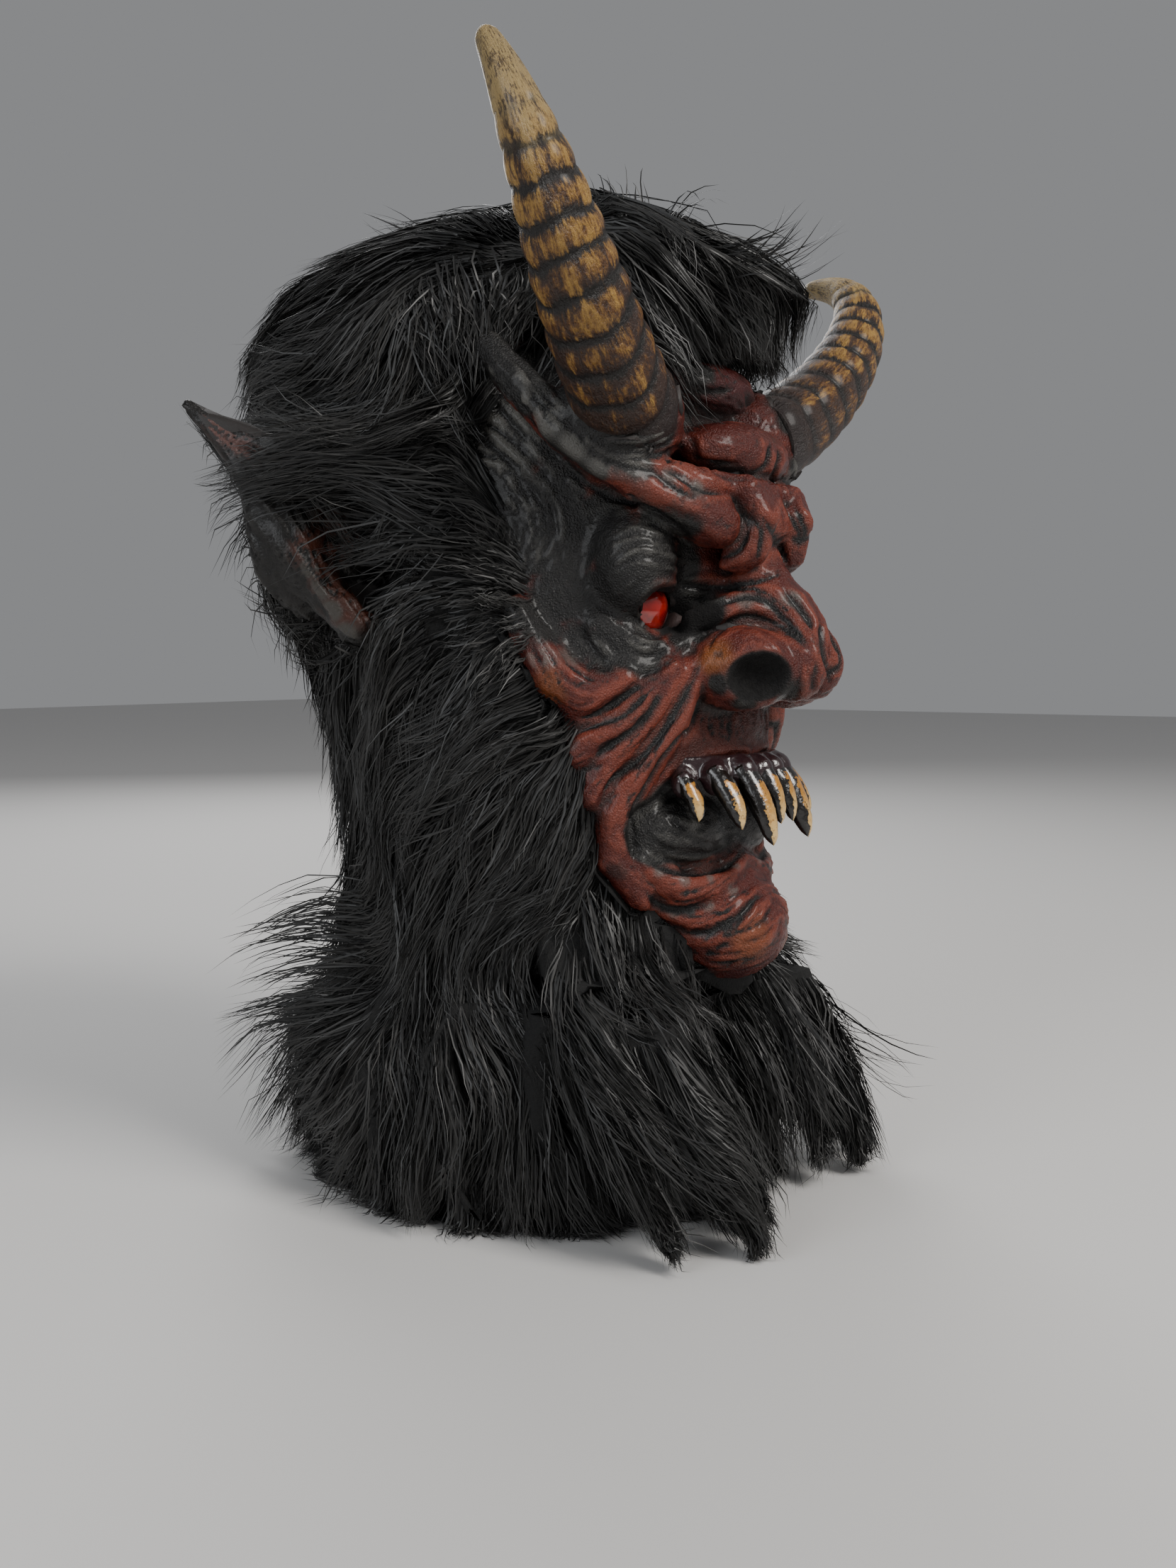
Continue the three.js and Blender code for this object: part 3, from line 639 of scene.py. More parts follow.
    def skin(self, p: Array) -> Array:
        """Distance to the whole skin."""
        return worked(self.ear, self.carved(p), p)

    def hairline_at(self, z: Array) -> Array:
        """Depth of the edge of the bare face at a height."""
        y, height = np.array(self.hairline).T
        depth = np.interp(z, height, y)
        depth = np.where(z < height[0], y[0] - self.slope_below * (height[0] - z), depth)
        return np.where(z > height[-1], y[-1] - self.slope_above * (z - height[-1]), depth)


# Camera of the photograph


@dataclass(frozen=True)
class PhotoCamera:
    """The camera that took the photograph, in the mask's own frame."""

    image: Pixel = (1659, 2212)
    focal: float = 2000.0
    azimuth: float = 57.0
    pitch: float = 5.0
    distance: float = 690.0
    height: float = 247.0
    axis_column: float = 796.0
    sensor: float = 36.0
    clip: tuple[float, float] = (0.01, 20)
    ray_start: float = 380.0
    ray_step: tuple[float, float] = (-6, 12)
    ray_share: float = 0.8

    def axes(self) -> tuple[Array, Array, Array]:
        """Unit vectors ahead, to the right and up."""
        a, e = math.radians(self.azimuth), math.radians(self.pitch)
        ahead = np.array([math.sin(a) * math.cos(e), math.cos(a) * math.cos(e), -math.sin(e)])
        right = unit(np.cross(ahead, [0, 0, 1]))
        return ahead, right, np.cross(right, ahead)

    def position(self) -> Array:
        """Place of the camera in millimetres."""
        a = math.radians(self.azimuth)
        ahead = np.array([math.sin(a), math.cos(a), 0])
        _, right, _ = self.axes()
        aside = -(self.axis_column - self.image[0] / 2) / self.focal * self.distance
        return -ahead * self.distance + np.array([0, 0, self.height]) + right * aside

    def ray(self, x: float, y: float) -> Array:
        """Direction through a pixel of the photograph."""
        ahead, right, up = self.axes()
        across = (x - self.image[0] / 2) / self.focal
        down = (y - self.image[1] / 2) / self.focal
        return unit(ahead + right * across - up * down)

    def build(self, shop: Workshop) -> None:
        """Sets up the scene's camera.

        Args:
            shop: where pieces are placed.
        """
        data = bpy.data.cameras.new("photo_camera")
        data.sensor_width = self.sensor
        data.lens = self.focal / self.image[1] * self.sensor
        data.clip_start, data.clip_end = self.clip
        thing = bpy.data.objects.new("photo_camera", data)
        ahead, _, _ = self.axes()
        thing.location = shop.placed(self.position())
        thing.rotation_mode = "QUATERNION"
        thing.rotation_quaternion = Vector(ahead).to_track_quat("-Z", "Y")
        bpy.context.scene.collection.objects.link(thing)
        bpy.context.scene.camera = thing


CAMERA = PhotoCamera()


def sampled(points: Sequence[Pixel], spacing: float) -> Array:
    """Even steps along the smooth curve through pixel points.

    Args:
        points: the points, in order.
        spacing: step in pixels.

    Returns:
        Places along the curve.
    """
    p = np.array(points, float)
    ends = np.vstack([2 * p[0] - p[1], p, 2 * p[-1] - p[-2]])
    out = []
    for i in range(1, len(ends) - 2):
        a, b, c, d = ends[i - 1 : i + 3]
        steps = max(int(np.linalg.norm(c - b) / spacing), 1)
        t = (np.arange(steps) / steps)[:, None]
        out.append(0.5 * (2 * b + (c - a) * t + (2 * a - 5 * b + 4 * c - d) * t**2 + (3 * b - a - 3 * c + d) * t**3))
    return np.vstack([*out, p[-1:]])


class Kind(Enum):
    """How a stroke shapes the skin."""

    CREASE = -1.0
    RIDGE = 1.0


@dataclass(frozen=True)
class Stroke:
    """A line seen in the photograph, as pixels of it, cut into the skin or raised on it."""

    points: tuple[Pixel, ...]
    height: float = 1.0
    width: float = 1.6
    kind: Kind = Kind.CREASE


def creases(height: float, width: float, *lines: tuple[Pixel, ...]) -> list[Stroke]:
    """Strokes cut with one depth and width."""
    return [Stroke(points, height, width) for points in lines]


BROW_STROKES = [
    Stroke(((743, 542), (777, 603), (832, 651), (882, 676), (952, 706), (1021, 742)), 1.6, 4.0, Kind.RIDGE),
    *creases(
        1.2, 1.7,
        ((799, 589), (838, 637), (882, 658), (921, 667), (966, 698), (1029, 712)),
        ((760, 614), (810, 667), (860, 700), (904, 712), (952, 739), (988, 776), (1021, 782), (1052, 756)),
        ((1032, 712), (1057, 742), (1040, 778), (1002, 794)),
        ((1040, 712), (1063, 734), (1074, 756), (1066, 801)),
        ((1074, 726), (1088, 748), (1104, 781), (1116, 798)),
        ((1104, 712), (1127, 751), (1124, 784)),
        ((1118, 709), (1138, 753), (1132, 776)),
    ),
]
FOREHEAD_STROKES = [
    Stroke(((918, 656), (966, 656), (1004, 678), (1049, 698)), 1.3, 2.4, Kind.RIDGE),
    *creases(
        1.4, 1.6,
        ((938, 653), (960, 641), (979, 642), (1000, 652), (1021, 668), (1049, 680), (1080, 678)),
        ((927, 662), (949, 667), (988, 692), (1032, 698)),
        ((1093, 626), (1099, 645), (1085, 684)),
        ((962, 572), (975, 582), (1000, 588), (1055, 588)),
        ((958, 560), (985, 569), (1015, 570), (1042, 562)),
        ((965, 546), (990, 553), (1020, 553), (1045, 545)),
    ),
    *creases(
        0.8, 1.1,
        ((938, 664), (952, 684), (1003, 702)),
        ((966, 639), (1004, 651), (1049, 653)),
        ((988, 651), (1021, 673), (1071, 676), (1093, 664)),
        ((963, 556), (979, 567), (996, 578)),
        ((960, 545), (975, 556), (990, 562)),
        ((949, 531), (949, 576), (954, 603), (949, 626), (932, 639)),
        ((972, 612), (982, 636), (982, 662)),
    ),
]
HORN_ROOT_STROKES = creases(
    1.2, 1.3,
    ((816, 592), (838, 603), (866, 609), (899, 606), (921, 592), (935, 570)),
    ((816, 606), (843, 617), (877, 620), (910, 614), (938, 595), (949, 576)),
    ((827, 617), (860, 631), (893, 631), (924, 623), (949, 606)),
    ((843, 634), (877, 639), (910, 637), (938, 628), (954, 614)),
    ((866, 645), (896, 648), (924, 642), (966, 626)),
)
TEMPLE_STROKES = creases(
    0.9, 1.2,
    ((660, 567), (693, 573), (716, 592), (743, 623), (760, 645)),
    ((660, 576), (688, 595), (738, 637), (763, 664), (782, 692)),
    ((660, 606), (707, 639), (741, 676), (771, 720)),
    ((660, 642), (688, 645), (716, 651), (738, 687), (754, 714)),
    ((763, 714), (771, 742), (768, 770), (752, 798)),
    ((774, 700), (782, 728), (779, 759), (771, 784)),
    ((720, 500), (750, 530), (770, 560), (800, 590)),
    ((735, 530), (760, 565), (795, 600)),
)
LID_STROKES = [
    *creases(
        1.4, 1.3,
        ((896, 698), (871, 709), (841, 751), (828, 817), (841, 881), (857, 927), (888, 953)),
        ((941, 820), (993, 828), (1060, 823), (1102, 809)),
    ),
    *creases(
        0.7, 1.0,
        ((860, 739), (896, 724), (952, 742), (993, 778)),
        ((854, 759), (896, 739), (954, 756), (988, 787)),
        ((852, 778), (899, 753), (960, 773), (979, 784)),
        ((854, 798), (904, 767), (966, 784), (988, 789)),
        ((856, 815), (900, 785), (950, 795), (985, 800)),
    ),
    Stroke(((896, 853), (907, 837), (921, 826), (941, 820), (968, 828)), 1.4, 1.6, Kind.RIDGE),
]
BAG_STROKES = creases(
    0.9, 1.1,
    ((894, 866), (904, 877), (920, 881), (946, 869)),
    ((891, 887), (904, 895), (923, 901), (949, 882)),
    ((886, 898), (902, 908), (923, 911), (944, 903)),
    ((888, 911), (904, 922), (925, 924), (944, 916)),
    ((883, 953), (904, 951), (923, 945), (944, 932), (957, 916)),
    ((807, 879), (825, 898), (838, 919), (857, 940), (878, 953)),
)
CHEEKBONE_STROKES = [
    *creases(
        0.7, 1.1,
        ((765, 882), (783, 908), (804, 937), (831, 956), (862, 964)),
        ((762, 898), (788, 943), (807, 966), (852, 979)),
        ((746, 903), (759, 929), (788, 977)),
    ),
    *creases(1.5, 2.0, ((809, 1008), (831, 1011), (867, 990), (904, 966), (915, 956))),
]
CHEEK_STROKES = [
    *creases(
        1.7, 1.8,
        ((804, 1040), (831, 1027), (878, 1011), (912, 979), (920, 966)),
        ((831, 1066), (852, 1058), (904, 1019), (931, 977), (938, 964)),
        ((846, 1140), (862, 1103), (904, 1069), (944, 1019), (975, 966), (994, 927)),
        ((994, 972), (973, 1022), (936, 1066), (907, 1116), (888, 1156), (899, 1190)),
    ),
    *creases(0.9, 1.2, ((991, 919), (983, 950), (957, 998), (944, 1019))),
    Stroke(((807, 1051), (833, 1043), (888, 1014), (920, 982)), 0.9, 3.2, Kind.RIDGE),
    Stroke(((828, 1093), (857, 1077), (915, 1029), (952, 972), (981, 929)), 0.9, 3.2, Kind.RIDGE),
    Stroke(((983, 966), (957, 1019), (920, 1074), (878, 1122), (862, 1172), (904, 1232)), 0.9, 3.5, Kind.RIDGE),
]
NOSE_STROKES = [
    *creases(
        1.5, 1.7,
        ((985, 868), (1005, 858), (1045, 843), (1075, 846), (1105, 872), (1135, 900), (1147, 918)),
        ((990, 905), (1005, 893), (1045, 871), (1078, 873), (1115, 893), (1148, 925)),
        ((1101, 828), (1120, 848), (1138, 872), (1152, 895)),
        ((1153, 868), (1157, 885), (1160, 910), (1165, 935), (1173, 975)),
    ),
    *creases(
        1.0, 1.3,
        ((1147, 925), (1150, 940), (1147, 970), (1150, 985)),
        ((968, 859), (1000, 838), (1049, 829), (1077, 834), (1104, 855), (1130, 882)),
        ((999, 925), (1004, 905), (1023, 887), (1046, 876)),
    ),
]
LIP_STROKES = [
    Stroke(((965, 1093), (983, 1069), (1031, 1056), (1067, 1064), (1083, 1056)), 1.4, 2.0, Kind.RIDGE),
    Stroke(((965, 1093), (946, 1108), (920, 1140), (907, 1156)), 1.2, 2.0, Kind.RIDGE),
    *creases(
        0.7, 1.2,
        ((985, 985), (978, 1010), (985, 1040)),
        ((1005, 1000), (1000, 1025), (1010, 1045)),
        ((1030, 1003), (1030, 1030), (1035, 1045)),
    ),
]
MOUTH_STROKES = creases(
    0.8, 1.0,
    ((912, 1158), (931, 1174), (957, 1185), (1017, 1193)),
    ((904, 1172), (925, 1190), (957, 1201), (1017, 1203)),
    ((902, 1187), (925, 1206), (957, 1216), (1015, 1216)),
    ((940, 1150), (960, 1165), (1000, 1172)),
    ((930, 1165), (955, 1178), (1010, 1184)),
)
CHIN_STROKES = [
    *creases(
        1.6, 1.6,
        ((902, 1201), (923, 1221), (952, 1230), (983, 1232), (1009, 1228), (1031, 1217), (1060, 1190)),
        ((905, 1250), (927, 1274), (953, 1283), (978, 1282), (1000, 1273)),
        ((945, 1310), (962, 1316), (998, 1314), (1039, 1295), (1062, 1272), (1085, 1255)),
    ),
    *creases(
        0.8, 1.2,
        ((1038, 1320), (1053, 1314), (1075, 1299), (1091, 1276)),
        ((986, 1342), (1021, 1346), (1060, 1340)),
        ((994, 1334), (1021, 1336), (1046, 1331)),
        ((998, 1358), (1021, 1359), (1041, 1356)),
        ((1000, 1327), (1030, 1322), (1060, 1300), (1082, 1270)),
        ((925, 1262), (955, 1272), (985, 1266), (1020, 1245), (1050, 1222)),
        ((935, 1252), (960, 1258), (1000, 1248), (1035, 1225)),
        ((955, 1300), (990, 1300), (1030, 1282), (1060, 1258)),
        ((1045, 1330), (1075, 1322), (1098, 1295)),
    ),
    Stroke(((880, 1222), (905, 1240), (940, 1257), (1000, 1252), (1045, 1222)), 0.8, 3.0, Kind.RIDGE),
    Stroke(((935, 1292), (975, 1304), (1020, 1290), (1065, 1256)), 0.8, 3.0, Kind.RIDGE),
]
FACE_STROKES: list[Stroke] = [
    *BROW_STROKES, *FOREHEAD_STROKES, *HORN_ROOT_STROKES, *TEMPLE_STROKES, *LID_STROKES, *BAG_STROKES,
    *CHEEKBONE_STROKES, *CHEEK_STROKES, *NOSE_STROKES, *LIP_STROKES, *MOUTH_STROKES, *CHIN_STROKES,
]


class Tone(Enum):
    """Paints airbrushed over the red of the skin."""

    BLACK = "black"
    # Grey: partly real silver dry-brush, partly painted highlight on the crests.
    GREY = "grey"
    DEEP = "deep"
    ORANGE = "orange"
    LIP = "lip"


@dataclass(frozen=True)
class Spray:
    """A soft spot of one paint, aimed at a pixel of the photograph."""

    tone: Tone
    pixel: Pixel
    radius: float
    amount: float = 1.0


def sprays(tone: Tone, *spots: tuple[float, ...]) -> list[Spray]:
    """Spots of one paint, from rows of column, row, radius and, where it isn't 1, the amount."""
    return [Spray(tone, (x, y), *rest) for x, y, *rest in spots]


SPRAYS = (
    *sprays(
        Tone.BLACK,
        # Temple, outer brow and the side of the face
        (690, 560, 30), (700, 660, 30), (730, 760, 26), (780, 700, 20), (790, 830, 19), (762, 870, 12),
        (760, 520, 22), (800, 610, 15), (838, 652, 9), (720, 450, 26), (780, 470, 20), (820, 560, 18), (662, 600, 24),
        (670, 690, 22), (690, 770, 20), (706, 832, 15), (722, 866, 10), (690, 478, 22), (715, 505, 20),
        (745, 540, 16), (742, 862, 11), (776, 785, 15), (748, 880, 8, 0.8), (712, 700, 20),
        # Horn root and the hollow beside it
        (880, 605, 21), (835, 580, 18), (930, 600, 13), (945, 540, 15),
        # Socket, lid and bags; the spots at the inner corner of the eye, beside the nose, are painted shade
        (880, 780, 26), (930, 765, 20), (845, 850, 20), (820, 765, 18), (895, 845, 12), (898, 870, 9), (860, 905, 14),
        (910, 915, 13), (960, 800, 14), (970, 850, 14), (1000, 852, 9), (960, 900, 9, 0.8), (850, 725, 13),
        (900, 710, 8, 0.7),
        # Forehead
        (985, 520, 10, 0.9), (965, 590, 7, 0.7), (905, 655, 7, 0.7),
        # Cheekbone and the edge of the cheek
        (770, 890, 12, 0.8), (820, 900, 14, 0.8), (850, 935, 9, 0.7), (800, 1050, 7, 0.5), (835, 1150, 7, 0.5),
        (870, 1230, 7, 0.5),
        # Nose
        (1110, 978, 9, 0.8), (1050, 992, 8, 0.9), (1012, 965, 6, 0.8), (1000, 872, 7, 0.6), (982, 895, 8, 0.8),
        # Lips and chin
        (1005, 1000, 6, 0.4), (1000, 1372, 6, 0.6),
    ),
    *sprays(
        # Grey spots: partly real silver dry-brush, partly painted highlights on ridges, lips and chin.
        Tone.GREY,
        # Temple, outer brow and the side of the face
        (690, 520, 9, 0.4), (738, 552, 9, 0.7), (775, 590, 8, 0.8), (810, 625, 7, 0.7), (845, 658, 6, 0.5),
        (700, 640, 24, 0.6), (730, 740, 14, 0.5), (760, 790, 10, 0.4),
        # Horn root and the hollow beside it
        (935, 605, 8, 0.8), (900, 640, 8, 0.5),
        # Socket, lid and bags
        (890, 760, 15, 0.35), (870, 830, 12, 0.3), (905, 900, 9, 0.4),
        # Forehead
        (1035, 594, 5, 0.9), (945, 672, 5, 0.7), (985, 690, 5, 0.7),
        # Cheekbone and the edge of the cheek
        (765, 925, 9, 0.6), (800, 930, 8, 0.4),
        # Nose
        (1120, 845, 6, 0.7), (1050, 847, 5, 0.6),
        # Lips and chin
        (905, 1208, 3, 0.6), (930, 1228, 3.5, 0.6), (965, 1241, 3.5, 0.6), (1000, 1239, 3.5, 0.6),
        (1035, 1220, 3.5, 0.6), (1000, 1277, 4, 0.6), (1035, 1256, 4, 0.6), (950, 1287, 4, 0.6),
    ),
    *sprays(
        Tone.DEEP,
        # Socket, lid and bags
        (835, 800, 9, 0.5),
        # Forehead
        (1000, 545, 17), (1030, 560, 14), (1060, 600, 12, 0.5),
        # Nose
        (1035, 960, 11, 0.7),
        # Lips and chin
        (1040, 1376, 9, 0.8),
    ),
    *sprays(
        Tone.ORANGE,
        # Cheekbone and the edge of the cheek
        (775, 965, 8, 0.6),
        # Nose
        (1010, 930, 9),
        # Lips and chin
        (1060, 1330, 12, 0.45),
    ),
    *sprays(
        Tone.LIP,
        # Lips and chin
        (1020, 1030, 18, 0.8), (975, 1075, 11, 0.9), (1060, 1010, 12, 0.8), (930, 1125, 9, 0.8),
    ),
)


@dataclass(frozen=True)
class WrinkleZone:
    """Where fine wrinkles are deeper, aimed at a pixel of the photograph."""

    pixel: Pixel
    radius: float
    amount: float


WRINKLE_ZONES = tuple(WrinkleZone((x, y), radius, amount) for x, y, radius, amount in (
    (700, 640, 36, 1.25), (900, 780, 16, 0.8), (880, 620, 20, 1.2), (800, 950, 20, 1.0), (900, 1080, 26, 1.0),
    (970, 1190, 18, 1.2), (1020, 1320, 26, 1.1), (980, 1260, 16, 1.0), (760, 580, 18, 1.2), (1020, 1030, 14, 1.0),
    (1000, 760, 14, 0.7), (870, 740, 18, 0.9), (740, 700, 24, 1.3), (1050, 820, 14, 0.8), (1005, 548, 16, 1.2),
))


@dataclass
class Aimed:
    """Finds where the photograph's pixels lie on a mesh."""

    tree: BVHTree
    position: Vector = field(default_factory=lambda: Vector(CAMERA.position()))
    jump: float = 14.0

    def hit(self, pixel: Sequence[float]) -> Array | None:
        """Place seen at a pixel, or None."""
        place, _, _, _ = self.tree.ray_cast(self.position, Vector(CAMERA.ray(*pixel)))
        return None if place is None else np.array(place)

    def line(self, points: Sequence[Pixel], spacing: float = 4.0) -> Array:
        """Places along a line of pixels, without those that jump to another form.

        Args:
            points: the line's points.
            spacing: step in pixels.

        Returns:
            Places in millimetres.
        """
        found = [self.hit(p) for p in sampled(points, spacing)]
        kept: list[Array] = []
        for place in found:
            if place is None or (kept and np.linalg.norm(place - kept[-1]) > self.jump):
                continue
            kept.append(place)
        return np.array(kept) if kept else np.zeros((0, 3))


@dataclass
class FlowGrid:
    """Directions kept on a coarse grid over the right half of the mask."""

    low: Array
    step: float
    directions: Array
    pace: float = 0.6

    @classmethod
    def of_lines(
        cls, places: Array, tangents: Array, low: Point, high: Point, step: float, spread: float
    ) -> "FlowGrid":
        """Blends tangents of lines, whose sense doesn't count, over a box.

        Args:
            places: points on the lines.
            tangents: unit directions there.
            low: lowest corner of the box.
            high: highest corner of the box.
            step: distance of the grid's nodes.
            spread: distance over which a line rules.

        Returns:
            The grid of main directions.
        """
        count = np.ceil((np.array(high) - low) / step).astype(int) + 1
        nodes = np.array(low) + lattice(*count) * step
        outer = (tangents[:, :, None] * tangents[:, None, :]).reshape(-1, 9).astype(np.float32)
        tensors = np.empty((len(nodes), 9), np.float32)
        for part in np.array_split(np.arange(len(nodes)), max(len(nodes) // 4000, 1)):
            gap = ((nodes[part, None] - places[None]) ** 2).sum(-1).astype(np.float32)
            tensors[part] = (1 / (gap + spread**2 / 9) ** 2) @ outer
        _, vectors = np.linalg.eigh(tensors.reshape(-1, 3, 3).astype(float))
        return cls(np.array(low, float), step, vectors[:, :, 2].reshape(*count, 3))

    def at(self, p: Array) -> Array:
        """Directions at places of the whole mask, mirrored on the left side."""
        index = np.rint((folded(p) - self.low) / self.step).astype(int)
        index = np.clip(index, 0, np.array(self.directions.shape[:3]) - 1)
        found = self.directions[index[:, 0], index[:, 1], index[:, 2]].copy()
        found[p[:, 0] > 0, 0] *= -1
        return found

    def streaks(self, p: Array, cell: float, length: float, seed: int) -> Array:
        """Noise drawn out along the directions.

        Args:
            p: places in millimetres.
            cell: width of a streak.
            length: how far it is drawn out to each side.
            seed: picks the noise.

        Returns:
            Values with a spread of about one.
        """
        total = value_noise(p, cell, seed)
        pace = cell * self.pace
        for sense in (-1.0, 1.0):
            place, heading = p, self.at(p) * sense
            for _ in range(int(length / pace)):
                place = place + heading * pace
                turn = self.at(place)
                heading = turn * np.sign((turn * heading).sum(1, keepdims=True))
                total += value_noise(place, cell, seed)
        return total / total.std()


# Node materials


@dataclass(frozen=True)
class Value:
    """Output of a node, with which formulas can be written."""

    nodes: "Nodes"
    socket: bpy.types.NodeSocket

    def __add__(self, other: "Value | float") -> "Value":
        """Sum with another value."""
        return self.nodes.math("ADD", self, other)

    def __sub__(self, other: "Value | float") -> "Value":
        """Difference from another value."""
        return self.nodes.math("SUBTRACT", self, other)

    def __mul__(self, other: "Value | float") -> "Value":
        """Product with another value."""
        return self.nodes.math("MULTIPLY", self, other)

    def span(self, low: float, high: float, to_low: float = 0.0, to_high: float = 1.0) -> "Value":
        """The value moved smoothly from one range to another."""
        ends = {"Value": self, "From Min": low, "From Max": high, "To Min": to_low, "To Max": to_high}
        return self.nodes.made("ShaderNodeMapRange", "Result", ends, interpolation_type="SMOOTHSTEP")


@dataclass(frozen=True)
class Nodes:
    """Short hand for building a node material."""

    material: bpy.types.Material

    @classmethod
    def fresh(cls, name: str) -> "Nodes":
        """A material that holds only its output and a Principled shader."""
        material = bpy.data.materials.new(name)
        material.use_nodes = True
        return cls(material)

    def feed(self, socket: bpy.types.NodeSocket, value: "Value | Colour | float") -> None:
        """Links a value to a socket, or sets the socket to a number or a colour."""
        if isinstance(value, Value):
            self.material.node_tree.links.new(value.socket, socket)
        else:
            socket.default_value = (*value, 1.0) if isinstance(value, tuple) else value

    def made(self, kind: str, output: str | int, inputs: dict, **settings: str) -> Value:
        """Adds a node.

        Args:
            kind: type of the node.
            output: name or number of the output that is used.
            inputs: what its sockets are fed with, by name or number.
            settings: its properties.

        Returns:
            The output.
        """
        node = self.material.node_tree.nodes.new(kind)
        for key, value in settings.items():
            setattr(node, key, value)
        for key, value in inputs.items():
            self.feed(node.inputs[key], value)
        return Value(self, node.outputs[output])

    def mark(self, name: str) -> Value:
        """Value kept at the mesh's vertices."""
        return self.made("ShaderNodeAttribute", "Fac", {}, attribute_name=name)

    def place(self) -> Value:
        """Place on the object, in metres."""
        return self.made("ShaderNodeTexCoord", "Object", {})

    def vector(self, x: Value, y: Value, z: Value) -> Value:
        """Three values as one place."""
        return self.made("ShaderNodeCombineXYZ", 0, {0: x, 1: y, 2: z})

    def noise(self, scale: float, detail: float = 3, rough: float = 0.5, at: Value | None = None) -> Value:
        """Value of a noise with a number of waves to the metre."""
        inputs = {"Vector": at or self.place(), "Scale": scale, "Detail": detail, "Roughness": rough}
        return self.made("ShaderNodeTexNoise", "Fac", inputs)

    def cells(self, scale: float) -> Value:
        """Distance to the nearest of scattered points."""
        return self.made("ShaderNodeTexVoronoi", "Distance", {"Vector": self.place(), "Scale": scale})

    def math(self, how: str, a: Value, b: Value | float) -> Value:
        """One step of arithmetic."""
        return self.made("ShaderNodeMath", 0, {0: a, 1: b}, operation=how)

    def mix(self, share: Value, a: Value | Colour, b: Value | Colour) -> Value:
        """Two colours mixed by a share."""
        return self.made("ShaderNodeMix", 2, {0: share, 6: a, 7: b}, data_type="RGBA")

    def bump(self, height: Value, depth: float, strength: float) -> Value:
        """Normal that follows a height, with the depth in metres."""
        return self.made("ShaderNodeBump", "Normal", {"Distance": depth, "Strength": strength, "Height": height})

    def surface(self, **values: Value | Colour | float) -> bpy.types.Material:
        """Feeds the Principled shader, with _ for the blanks in the names of its sockets."""
        shader = self.material.node_tree.nodes["Principled BSDF"]
        for key, value in values.items():
            self.feed(shader.inputs[key.replace("_", " ")], value)
        return self.material


@dataclass(frozen=True)
class PaintedLatex:
    """Brick red latex with black, grey and orange paint, painted shade in its creases and hollows and painted
    highlights on its crests.
    """

    name: str = "painted_latex"
    brick: Colour = (0.071, 0.0102, 0.0064)
    light: Colour = (0.168, 0.034, 0.019)
    deep: Colour = (0.045, 0.004, 0.004)
    orange: Colour = (0.21, 0.062, 0.013)
    lip: Colour = (0.058, 0.0125, 0.0080)
    black: Colour = (0.0080, 0.0073, 0.0070)
    grey: Colour = (0.105, 0.101, 0.091)
    shadow: Colour = (0.016, 0.010, 0.009)
    recess_shade: Colour = (0.0045, 0.004, 0.004)

    def build(self) -> bpy.types.Material:
        """Makes the material."""
        n = Nodes.fresh(self.name)
        cavity, crest, wash_and_shade, pit = (n.mark(name) for name in ("cavity", "crest", "wash_and_shade", "pit"))
        black, grey = n.mark(Tone.BLACK.value), n.mark(Tone.GREY.value)
        fine = n.noise(420, 4, 0.65)
        grain = fine - 0.5
        # Lighter red on the crests and bulges: partly real dry-brushed paint, partly painted highlight where light
        # falls on them.
        lit = crest * 0.75 + (n.noise(60, 4, 0.6) - 0.42) + grain
        colour = n.mix(lit.span(0.08, 0.85), self.brick, self.light)
        for tone, paint in ((Tone.ORANGE, self.orange), (Tone.DEEP, self.deep), (Tone.LIP, self.lip)):
            colour = n.mix(n.mark(tone.value), colour, paint)
        # Dark film beside the creases and in broad hollows: partly the real dark wash of the paint, partly painted
        # shade.
        relief_paint_and_shading = wash_and_shade - crest * 0.35 + grain * 0.9
        colour = n.mix(relief_paint_and_shading.span(0.07, 0.92, 0, 0.88), colour, self.shadow)
        colour = n.mix((black + grain * 0.5).span(0.08, 0.8), colour, self.black)
        # Grey on the crests, and on the crests of the black: partly real silver dry-brush, partly painted highlight.
        brushed = grey * (crest + fine).span(0.5, 1.1)
        colour = n.mix(brushed.span(0.02, 0.9, 0, 0.9), colour, self.grey)
        colour = n.mix(black * (crest + grain).span(0.3, 0.9, 0, 0.22), colour, self.grey)
        # Painted shade: near black in the crease cores and in the deep pits of the nostrils and eye slits.
        colour = n.mix((cavity + grain * 0.5).span(0.15, 0.9), colour, self.recess_shade)
        colour = n.mix(pit, colour, self.recess_shade)
        pores = n.cells(1100) * 0.6 + n.noise(1500, 3, 0.6) * 0.8 + fine * 0.9
        return n.surface(
            Base_Color=colour, Roughness=fine.span(0.3, 0.7, 0.28, 0.46) + pit * 0.6, Specular_IOR_Level=0.34,
            Normal=n.bump(pores, 0.0008, 0.85), Coat_Weight=pit.span(0.1, 0.6, 0.14, 0.0), Coat_Roughness=0.16,
        )


@dataclass(frozen=True)
class PlainLatex:
    """Black paint outside and unpainted dark red latex inside."""

    name: str = "latex_shell"
    outside: Colour = (0.014, 0.012, 0.011)
    inside: Colour = (0.05, 0.014, 0.011)
    stain: Colour = (0.02, 0.009, 0.008)

    def build(self) -> bpy.types.Material:
        """Makes the material."""
        n = Nodes.fresh(self.name)
        colour = n.mix(n.mark("outside"), self.inside, self.outside)
        colour = n.mix(n.noise(60).span(0.4, 0.7, 0, 0.4), colour, self.stain)
        return n.surface(Base_Color=colour, Roughness=0.6, Normal=n.bump(n.noise(900), 0.0003, 0.5))


